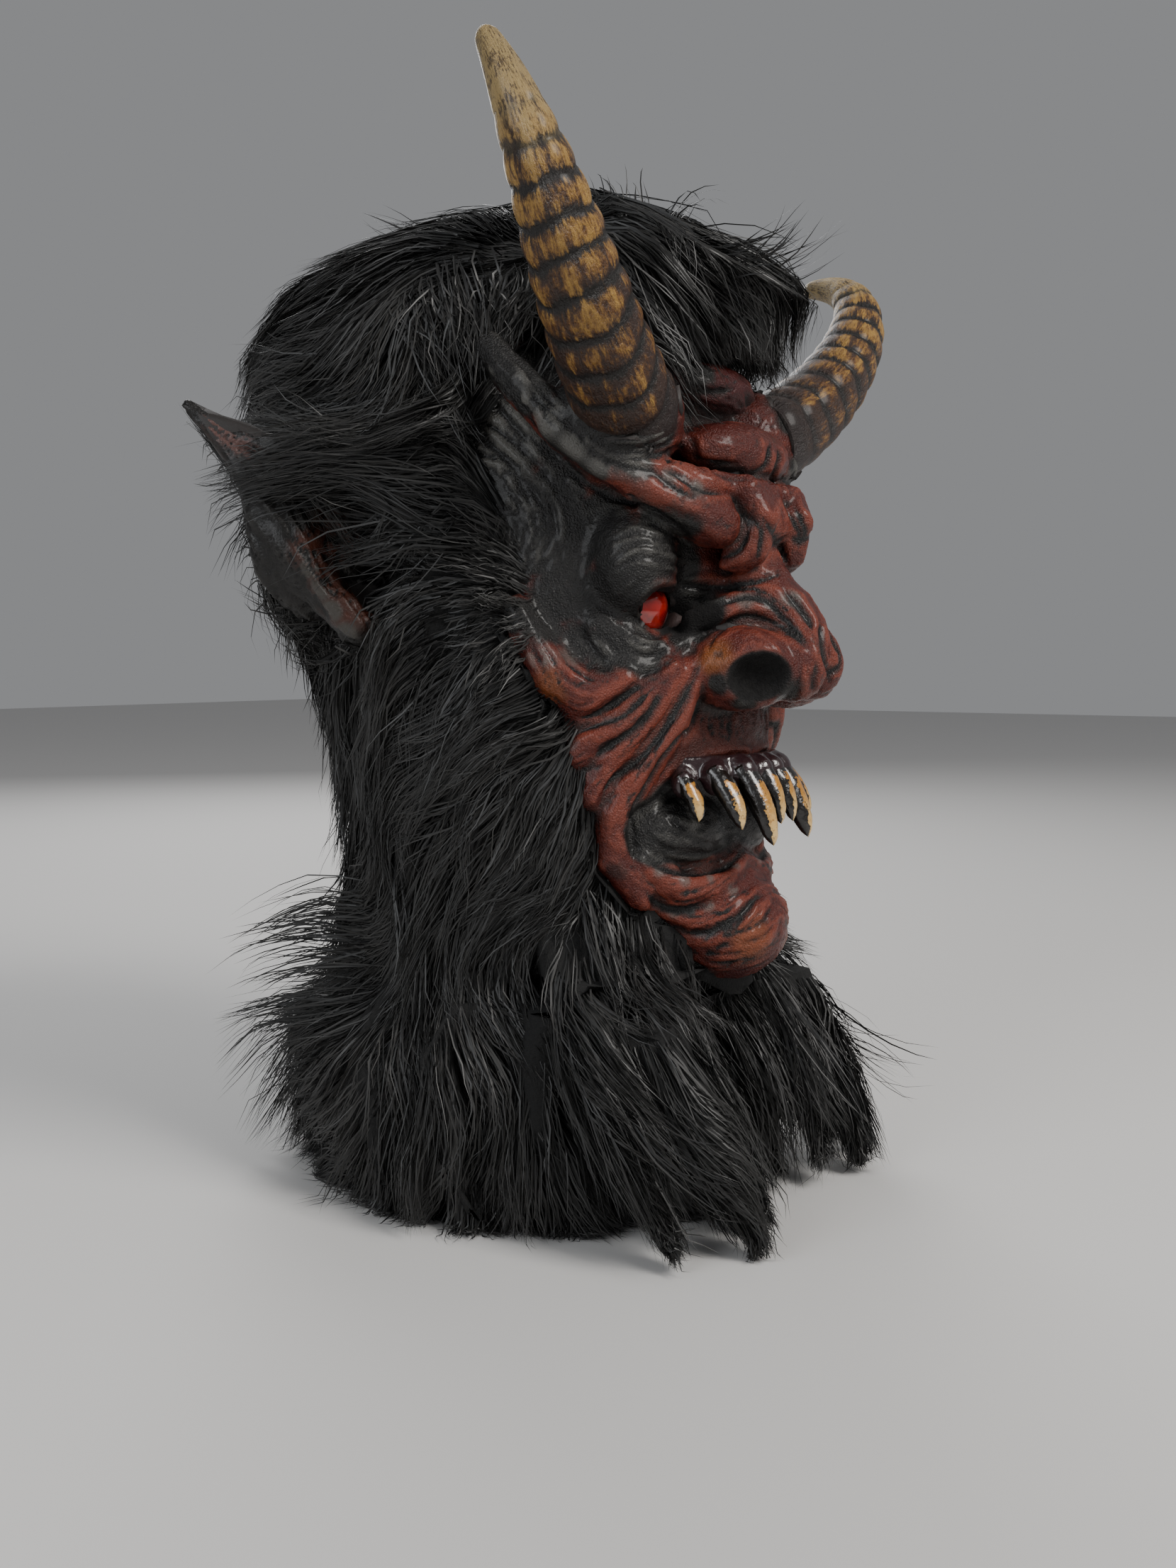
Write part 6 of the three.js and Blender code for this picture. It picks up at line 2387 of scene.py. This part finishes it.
@dataclass
class FurCoat:
    """Long strands that lie along the pile, gathered into locks."""

    form: FurForm = field(default_factory=FurForm)
    strands: int = 67000
    edge_strands: int = 5000
    locks: int = 2900
    tufts: int = 420
    steps: int = 6
    substeps: int = 2
    seed: int = 7
    strand_width: float = 0.68
    profile: tuple[float, ...] = (0.7, 1, 1, 0.85, 0.55)
    grid_low: Point = (-160, -170, -10)
    grid_high: Point = (160, 210, 480)
    grid_step: float = 10.0
    root_depth: float = 6.0
    usual_length: float = 72.0
    short_share: float = 0.12
    stray_share: float = 0.06
    fringe_end: float = 380.0
    ceiling: tuple[tuple[float, ...], tuple[float, ...]] = (
        (-150, -95, -78, -60, -41, -23, 20), (388, 424, 436, 447, 459, 466, 490),
    )
    collar_top: float = 104
    nape_top: float = 270
    crown_foot: float = 395
    ground: float = 0.6
    sink: float = 3.0
    back_sink: float = 6.0

    def build(self, shop: Workshop, skin: tuple[Array, Array]) -> None:
        """Makes the backing and all strands.

        Args:
            shop: where pieces are placed.
            skin: places and normals of the bare face.
        """
        self.build_backing(shop)
        count = self.strands
        rng = np.random.default_rng(self.seed)
        roots, normals = self.roots(shop, rng, count)
        edge = self.edge_roots(skin, rng, count * self.edge_strands // self.strands)
        roots, normals = np.vstack([roots, edge[0]]), np.vstack([normals, edge[1]])
        locks = Locks.of_size(roots, self.locks, rng, 4.0, 0.13)
        tufts = Locks.of_size(roots, self.tufts, rng, 5.0, 0.13)
        paths = self.grown(roots, locks, tufts, rng)
        paths = self.trimmed(self.gathered(paths, roots, locks, rng), roots, locks)
        paths = self.kept_off_temple(paths, rng)
        paths[..., 2] = np.maximum(paths[..., 2], self.ground + rng.uniform(0, 3, (len(roots), 1)))
        shade = np.clip(0.4 * locks.grey + 0.15 * tufts.grey + 0.5 * rng.beta(1.2, 2.4, len(roots)), 0, 1)
        material = FauxFur().build()
        for name, chosen, stands_for in self.regions(roots):
            self.build_strands(shop, name, paths[chosen], normals[chosen], shade[chosen], material, stands_for, rng)
        paths, normals = self.wisps(rng)
        paths[..., 2] = np.maximum(paths[..., 2], self.ground + rng.uniform(0, 3, (len(paths), 1)))
        shade = 0.7 * rng.beta(1.3, 2.2, len(paths))
        self.build_strands(shop, "fur_wisps", paths, normals, shade, material, "fur_hood", rng)

    def build_backing(self, shop: Workshop) -> None:
        """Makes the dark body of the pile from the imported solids.

        Args:
            shop: where pieces are placed.
        """
        material = FurBacking().build()
        for node in ("fur_hood", "fur_collar"):
            places, triangles = shop.node_mesh(node)
            merged, faces, normals = welded(places, triangles)
            outer = smooth(self.form.body(merged), -14, -8)
            inset = np.clip(self.form.head.plain(merged) - 2, 0, self.root_depth + self.sunk(merged))
            merged = merged - normals * (outer * inset)[:, None]
            proud = np.clip(self.form.body(merged) + 3, 0, 12) * outer * smooth(merged[:, 2], 150, 240)
            merged = merged - unit(gradient(self.form.body, merged, 1.5)) * proud[:, None]
            merged[:, 2] = np.maximum(self.under_ceiling(merged, 12, 1), 0)
            shop.piece(f"{node}_backing", merged, [faces], material, [node])

    def sunk(self, p: Array) -> Array:
        """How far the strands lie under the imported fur, so that their tips end near its outline."""
        return self.sink + self.back_sink * smooth(p[:, 2], 320, 390) * smooth(p[:, 1], 0, 60)

    def under_ceiling(self, p: Array, depth: float, share: float | Array) -> Array:
        """Heights of places, drawn down to the slope of the crown's front."""
        top = np.interp(p[..., 1], *self.ceiling) - depth
        return p[..., 2] - np.where(p[..., 2] > 385, np.maximum(p[..., 2] - top, 0), 0) * share

    def roots(self, shop: Workshop, rng: np.random.Generator, count: int) -> tuple[Array, Array]:
        """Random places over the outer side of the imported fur.

        Args:
            shop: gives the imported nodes.
            rng: source of chance.
            count: number of places.

        Returns:
            The places and their outward normals.
        """
        corners = []
        for node in ("fur_hood", "fur_collar"):
            places, triangles = shop.node_mesh(node)
            corners.append(places[triangles])
        tri = np.vstack(corners)
        cross = np.cross(tri[:, 1] - tri[:, 0], tri[:, 2] - tri[:, 0])
        area = np.linalg.norm(cross, axis=1)
        middle = tri.mean(1)
        outer = (self.form.body(middle) > -8) & (self.form.head.plain(middle) > 1.2)
        level = np.abs(cross[:, 2]) > 0.9 * area
        outer &= ~(level & ((middle[:, 2] < 3) | (np.abs(middle[:, 2] - 106) < 12)))
        concha = self.form.head.ear[-1].distance(folded(middle))
        weight = area * outer * (0.3 + 0.7 * smooth(concha, 2, 20)) * (1 + 0.35 * smooth(middle[:, 2], 330, 400))
        picked = rng.choice(len(tri), count, p=weight / weight.sum())
        a, b = rng.random(count), rng.random(count)
        flip = a + b > 1
        a[flip], b[flip] = 1 - a[flip], 1 - b[flip]
        t = tri[picked]
        places = t[:, 0] + a[:, None] * (t[:, 1] - t[:, 0]) + b[:, None] * (t[:, 2] - t[:, 0])
        return places, unit(cross[picked])

    def edge_roots(self, skin: tuple[Array, Array], rng: np.random.Generator, count: int) -> tuple[Array, Array]:
        """Random places on the skin along the hairline, with their normals.

        Args:
            skin: places and normals of the bare face.
            rng: source of chance.
            count: number of places.

        Returns:
            Places and normals.
        """
        places, normals = skin
        room = self.form.room(places)
        high = smooth(places[:, 2], 340, 360)
        chosen = (room > -2 - 12 * high) & (room < 11) & (places[:, 2] > 112) & (np.abs(places[:, 0]) > 50)
        picked = rng.choice(np.flatnonzero(chosen & (places[:, 2] < 392)), count)
        return places[picked] + rng.normal(0, 0.6, (count, 3)), normals[picked]

    def wisps(self, rng: np.random.Generator) -> tuple[Array, Array]:
        """Paths and normals of the loose strands.

        Args:
            rng: source of chance.

        Returns:
            Points and normals, mirrored where the wisp is on both sides.
        """
        paths, normals = [], []
        for wisp in WISPS:
            strands = wisp.paths(self.form.cover, rng, self.steps)
            if not len(strands):
                continue
            slope = unit(gradient(self.form.cover, strands[:, 0], 1.5))
            for sign in (1, -1) if wisp.mirrored else (1,):
                paths.append(strands * (sign, 1, 1))
                normals.append(slope * (sign, 1, 1))
        return np.vstack(paths), np.vstack(normals)

    def traced(self) -> tuple[Array, Array]:
        """Places and directions of the fur lines seen in the photograph, with their mirror images.

        Returns:
            Places and unit directions.
        """
        places, ways = [], []
        position = CAMERA.position()
        mirrored = (*CROWN_LINES, *EAR_LINES, *CHEEK_LINES, *NAPE_LINES, *RUFF_LINES, *BEARD_LINES)
        for points in (*mirrored, *FRINGE_LINES):
            rays = np.array([CAMERA.ray(*p) for p in sampled(points, 12)])
            travelled = np.full(len(rays), CAMERA.ray_start)
            for _ in range(60):
                gap = self.form.pile(position + rays * travelled[:, None])
                travelled += np.clip(gap, *CAMERA.ray_step) * CAMERA.ray_share
            found = position + rays * travelled[:, None]
            good = np.abs(self.form.pile(found)) < 3
            for i in range(len(found) - 1):
                if good[i] and good[i + 1] and np.linalg.norm(found[i + 1] - found[i]) < 20:
                    place, way = (found[i] + found[i + 1]) / 2, unit(found[i + 1] - found[i])
                    places.append(place)
                    ways.append(way)
                    if points not in FRINGE_LINES:
                        places.append(place * (-1, 1, 1))
                        ways.append(way * (-1, 1, 1))
        return np.array(places), np.array(ways)

    def directions(self) -> Callable[[Array], Array]:
        """Direction of growth everywhere, from the lines seen in the photograph and the unseen headings.

        Returns:
            A function that gives unit directions at places.
        """
        places, ways = self.traced()
        seen = len(places)
        hidden = [(np.array(place, float), unit(np.array(way, float))) for place, way in BACK_HEADINGS]
        hidden += [(place * (-1, 1, 1), way * (-1, 1, 1)) for place, way in hidden]
        places = np.vstack([places, [place for place, _ in hidden]])
        ways = np.vstack([ways, [way for _, way in hidden]])
        power = np.where(np.arange(len(places)) < seen, 1.0, 4.0)
        count = np.ceil((np.array(self.grid_high) - self.grid_low) / self.grid_step).astype(int) + 1
        nodes = np.array(self.grid_low) + lattice(*count) * self.grid_step
        blended = np.zeros((len(nodes), 3))
        for part in np.array_split(np.arange(len(nodes)), 30):
            gap = ((nodes[part, None] - places[None]) ** 2).sum(-1)
            blended[part] = (power / (gap + 64) ** 2) @ ways
        grid = unit(blended).reshape(*count, 3)

        def at(p: Array) -> Array:
            """Blended direction at places of the mask."""
            q = (p - self.grid_low) / self.grid_step
            base = np.clip(np.floor(q).astype(int), 0, count - 2)
            total = np.zeros_like(p, float)
            for node, weight in corners(base, np.clip(q - base, 0, 1)):
                total += weight[:, None] * grid[tuple(node.T)]
            return unit(total)

        return at

    def lengths(self, roots: Array) -> Array:
        """Length of the pile at the roots.

        Args:
            roots: where the strands start.

        Returns:
            Lengths in millimetres.
        """
        y, z, aside = roots[:, 1], roots[:, 2], np.abs(roots[:, 0])
        room = self.form.room(roots)
        crown = smooth(z, 330, 400)
        hem = 1 - smooth(z, 20, 70)
        temple = smooth(z, 240, 262) * (1 - smooth(z, 352, 368)) * (aside > 50)
        fringe = smooth(-y, 56, 84) * smooth(z, 350, 380)
        ear = inside(folded(roots), (-math.inf, -26, 296), (-70, 26, 352))
        length = self.usual_length + 12 * crown - 26 * hem - 22 * (1 - smooth(room, 0, 34)) * (z < 372)
        return length - 30 * (1 - smooth(room, 2, 44)) * temple - 40 * fringe * (1 - smooth(z, 385, 425)) + 34 * ear

    def flare(self, roots: Array) -> Array:
        """Share by which the strands stand off, strongest in the ruff at the back of the neck."""
        band = smooth(roots[:, 2], 40, 74) * (1 - smooth(roots[:, 2], 114, 132))
        return band * smooth(roots[:, 1], 0, 70)

    def lifts(self, roots: Array, locks: Locks, tufts: Locks, rng: np.random.Generator) -> Array:
        """Heights to which the tips rise over the pile.

        Args:
            roots: where the strands start.
            locks: small locks of the strands.
            tufts: large locks of the strands.
            rng: source of chance.

        Returns:
            Heights, greater on the crown, in the ruff and for a few stray strands.
        """
        y, z, count = roots[:, 1], roots[:, 2], len(roots)
        lift = 0.4 * locks.lift + 0.6 * tufts.lift * rng.uniform(0.6, 1.2, count) + rng.gamma(1.3, 1.2, count)
        lift += np.where(rng.random(count) < self.stray_share, rng.uniform(5, 16, count), 0)
        lift += smooth(z, 410, 440) * smooth(y, -30, 20) * rng.gamma(2, 1.2, count)
        lift *= 1 - 0.6 * smooth(-y, 20, 60) * smooth(z, 370, 400)
        return lift + self.flare(roots) * (8 + 3.0 * tufts.lift * rng.uniform(0.6, 1.1, count))

    def grown(self, roots: Array, locks: Locks, tufts: Locks, rng: np.random.Generator) -> Array:
        """Paths of strands that follow the guide along the pile.

        Args:
            roots: where they start on the pile.
            locks: small locks of the strands.
            tufts: large locks of the strands.
            rng: source of chance.

        Returns:
            Points of each strand, from root to tip.
        """
        cover, guide, count = self.form.cover, self.directions(), len(roots)
        length = self.lengths(roots) * locks.length * rng.uniform(0.72, 1.1, count)
        length = np.where(rng.random(count) < self.short_share, length * 0.55, length)
        lift = self.lifts(roots, locks, tufts, rng)
        lean = locks.lean + tufts.lean + rng.normal(0, 0.05, (count, 3))
        start = cover(roots)
        slope = unit(gradient(cover, roots, 1.5))
        sink = self.sunk(roots)
        inset = np.clip(self.form.head.plain(roots) - 1, 0, self.root_depth + sink)
        here = roots - slope * inset[:, None]
        paths = [here]
        total = (self.steps - 1) * self.substeps
        for step in range(1, total + 1):
            t = step / total
            slope = unit(gradient(cover, here, 1.5))
            way = guide(here) + lean * (0.4 + t)
            way = unit(way - slope * (way * slope).sum(1, keepdims=True) * 0.85)
            wave = 0.16 * np.sin(locks.phase + 7.5 * t) + 0.12 * np.sin(tufts.phase + 4.5 * t)
            way = unit(way + np.cross(slope, way) * wave[:, None])
            here = here + way * (length / total)[:, None]
            wanted = start * (1 - 0.5 * t) - inset * (1 - t) ** 2 + lift * t**1.6 - sink * (1 - (1 - t) ** 2)
            off = np.clip(wanted - cover(here), -7, 7)
            here = here + slope * off[:, None] * 0.6
            if step % self.substeps == 0:
                paths.append(here)
        return np.stack(paths, 1)

    def gathered(self, paths: Array, roots: Array, locks: Locks, rng: np.random.Generator) -> Array:
        """Draws strands together towards the middle of their lock and adds their own waves.

        Args:
            paths: points of the strands.
            roots: where the strands start.
            locks: small locks of the strands.
            rng: source of chance.

        Returns:
            The moved points.
        """
        centre = paths[locks.number]
        t = np.linspace(0, 1, paths.shape[1])[None, :, None]
        pull = (0.85 * rng.beta(3, 1.5, len(paths)))[:, None, None] * t**0.8
        gap = centre - centre[:, :1] - (paths - paths[:, :1])
        offset = (roots[locks.number] - roots)[:, None]
        near = np.exp(-((np.linalg.norm(offset, axis=2, keepdims=True) / 15) ** 2))
        moved = paths + pull * near * (gap + offset * 0.82)
        return moved + rng.normal(0, 1.0, paths.shape) * t

    def trimmed(self, paths: Array, roots: Array, locks: Locks) -> Array:
        """Shortens the strands of the fringe, so that they end over the forehead.

        Args:
            paths: points of the strands.
            roots: where the strands start.
            locks: small locks of the strands.

        Returns:
            The moved points.
        """
        tip = paths[:, -1, 2]
        limit = self.fringe_end + 3.5 * np.sin(locks.phase)
        front = (np.abs(roots[:, 0]) < 56) & (roots[:, 1] < -35) & (roots[:, 2] > 350) & (tip < limit)
        share = np.clip((roots[:, 2] - limit) / np.maximum(roots[:, 2] - tip, 1), 0.04, 1)
        share = np.where(front, share, 1)[:, None, None]
        paths = paths[:, :1] + (paths - paths[:, :1]) * share
        share = 0.88 - 0.2 * (np.sin(3 * locks.phase) > 0.8) - 0.25 * (np.sin(97 * roots[:, 0]) > 0.95)
        paths[..., 2] = self.under_ceiling(paths, 6, share[:, None])
        return paths

    def kept_off_temple(self, paths: Array, rng: np.random.Generator) -> Array:
        """Shortens the strands that would lie over the bare temple.

        Args:
            paths: points of the strands.
            rng: source of chance.

        Returns:
            The moved points.
        """
        root, tip = self.form.room(paths[:, 0]), self.form.room(paths[:, -1])
        z = paths[:, 0, 2]
        limit = -1.5 - rng.gamma(1.1, 2.6, len(paths))
        zone = (z > 236) & (z < 372) & (tip < limit) & (np.abs(paths[:, 0, 0]) > 52)
        share = np.clip((root - limit) / np.maximum(root - tip, 1), 0.12, 1)
        share = np.where(zone, share, 1)[:, None, None]
        return paths[:, :1] + (paths - paths[:, :1]) * share

    def regions(self, roots: Array) -> list[tuple[str, Array, str]]:
        """Names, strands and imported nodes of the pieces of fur.

        Args:
            roots: where the strands start.

        Returns:
            Name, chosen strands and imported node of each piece.
        """
        y, z = roots[:, 1], roots[:, 2]
        number = np.select(
            [z < self.collar_top, z > self.crown_foot, y < 30, z < self.nape_top], [4 + (y <= 10), 0, 1, 2], 3
        )
        names = ("fur_crown", "fur_cheeks", "fur_nape", "fur_mane", "fur_ruff", "fur_beard")
        return [(name, number == i, "fur_hood" if i < 4 else "fur_collar") for i, name in enumerate(names)]

    def build_strands(
        self,
        shop: Workshop,
        name: str,
        paths: Array,
        normals: Array,
        shade: Array,
        material: bpy.types.Material,
        stands_for: str,
        rng: np.random.Generator,
    ) -> None:
        """Makes one piece of flat tapered strands.

        Args:
            shop: where pieces are placed.
            name: the piece's name.
            paths: points of the strands.
            normals: outward normals at the strands' roots.
            shade: how grey each strand is.
            material: its finish.
            stands_for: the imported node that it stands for.
            rng: source of chance.
        """
        count, steps, _ = paths.shape
        tangent = unit(np.gradient(paths, axis=1))
        roll = rng.normal(0, 0.55, (count, 1, 1))
        flat = unit(np.cross(tangent, normals[:, None]))
        up = np.cross(flat, tangent)
        side = flat * np.cos(roll) + up * np.sin(roll)
        width = self.strand_width * rng.uniform(0.55, 1.4, (count, 1, 1)) * np.array(self.profile)[:, None] / 2
        left = paths[:, :-1] - side[:, :-1] * width
        right = paths[:, :-1] + side[:, :-1] * width
        pairs = np.stack([left, right], 2).reshape(count, -1, 3)
        places = np.concatenate([pairs, paths[:, -1:]], 1)
        per = places.shape[1]
        base = np.arange(count)[:, None] * per
        quads = [base + np.array([[2 * i, 2 * i + 1, 2 * i + 3, 2 * i + 2]]) for i in range(steps - 2)]
        tips = base + np.array([[per - 3, per - 2, per - 1]])
        along = np.append(np.repeat(np.linspace(0, 1, steps)[:-1], 2), 1.0)
        marks = {"along": np.tile(along, count), "shade": np.repeat(shade, per)}
        shop.piece(name, places.reshape(-1, 3), [np.vstack(quads), tips], material, [stands_for], marks)


# Studio


@dataclass(frozen=True)
class Lamp:
    """A soft square light that looks at the mask."""

    name: str
    place: Point
    size: float
    power: float
    colour: Colour = (1, 1, 1)

    def build(self, target: Vector) -> None:
        """Adds the light.

        Args:
            target: place that it looks at.
        """
        data = bpy.data.lights.new(self.name, "AREA")
        data.size = self.size
        data.energy = self.power
        data.color = self.colour
        thing = bpy.data.objects.new(self.name, data)
        thing.location = self.place
        thing.rotation_mode = "QUATERNION"
        thing.rotation_quaternion = (target - Vector(self.place)).to_track_quat("-Z", "Y")
        bpy.context.scene.collection.objects.link(thing)


@dataclass(frozen=True)
class Studio:
    """Plain pale floor and soft light."""

    floor: float = 12.0
    pale: Colour = (0.62, 0.61, 0.6)
    room: Colour = (0.74, 0.75, 0.77)
    room_light: float = 0.34
    target: Point = (0, 0, 0.25)
    lamps: tuple[Lamp, ...] = (
        Lamp("key", (-0.1, -1.5, 1.5), 0.7, 36, (1.0, 0.97, 0.93)),
        Lamp("fill", (-1.9, 0.3, 1.1), 1.1, 18, (0.94, 0.97, 1.0)),
        Lamp("rim", (1.2, 1.3, 1.3), 1.0, 20),
    )

    def build(self) -> None:
        """Adds floor, world and lights."""
        mesh = bpy.data.meshes.new("floor")
        h = self.floor / 2
        mesh.from_pydata([(-h, -h, 0), (h, -h, 0), (h, h, 0), (-h, h, 0)], [], [(0, 1, 2, 3)])
        n = Nodes.fresh("pale_floor")
        mesh.materials.append(n.surface(Base_Color=self.pale, Roughness=0.8))
        floor = bpy.data.objects.new("floor", mesh)
        bpy.context.scene.collection.objects.link(floor)
        world = bpy.data.worlds.new("soft_room")
        world.use_nodes = True
        back = world.node_tree.nodes["Background"]
        back.inputs["Color"].default_value = (*self.room, 1)
        back.inputs["Strength"].default_value = self.room_light
        bpy.context.scene.world = world
        for lamp in self.lamps:
            lamp.build(Vector(self.target))


HORNS = (
    Horn("right", ((-58, -73, 349), (-131, -92, 379), (-166, -104, 421), (-155, -70, 469)), seed=1),
    Horn("left", ((58, -75, 351), (126, -92, 379), (153, -111, 447), (164, -49, 449)), seed=41),
)


def main() -> None:
    """Builds the mask, the camera and the studio; each piece logs its size."""
    logging.basicConfig(level=logging.INFO, format="%(name)s %(message)s")
    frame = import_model()
    shop = Workshop(frame)
    CAMERA.build(shop)
    Studio().build()
    skin = Skin().build(shop)
    Ears().build(shop)
    Eyes().build(shop)
    Teeth().build(shop)
    horn = RingedHorn().build()
    for one in HORNS:
        one.build(shop, horn)
    FurCoat().build(shop, skin)


if __name__ == "__main__":
    main()
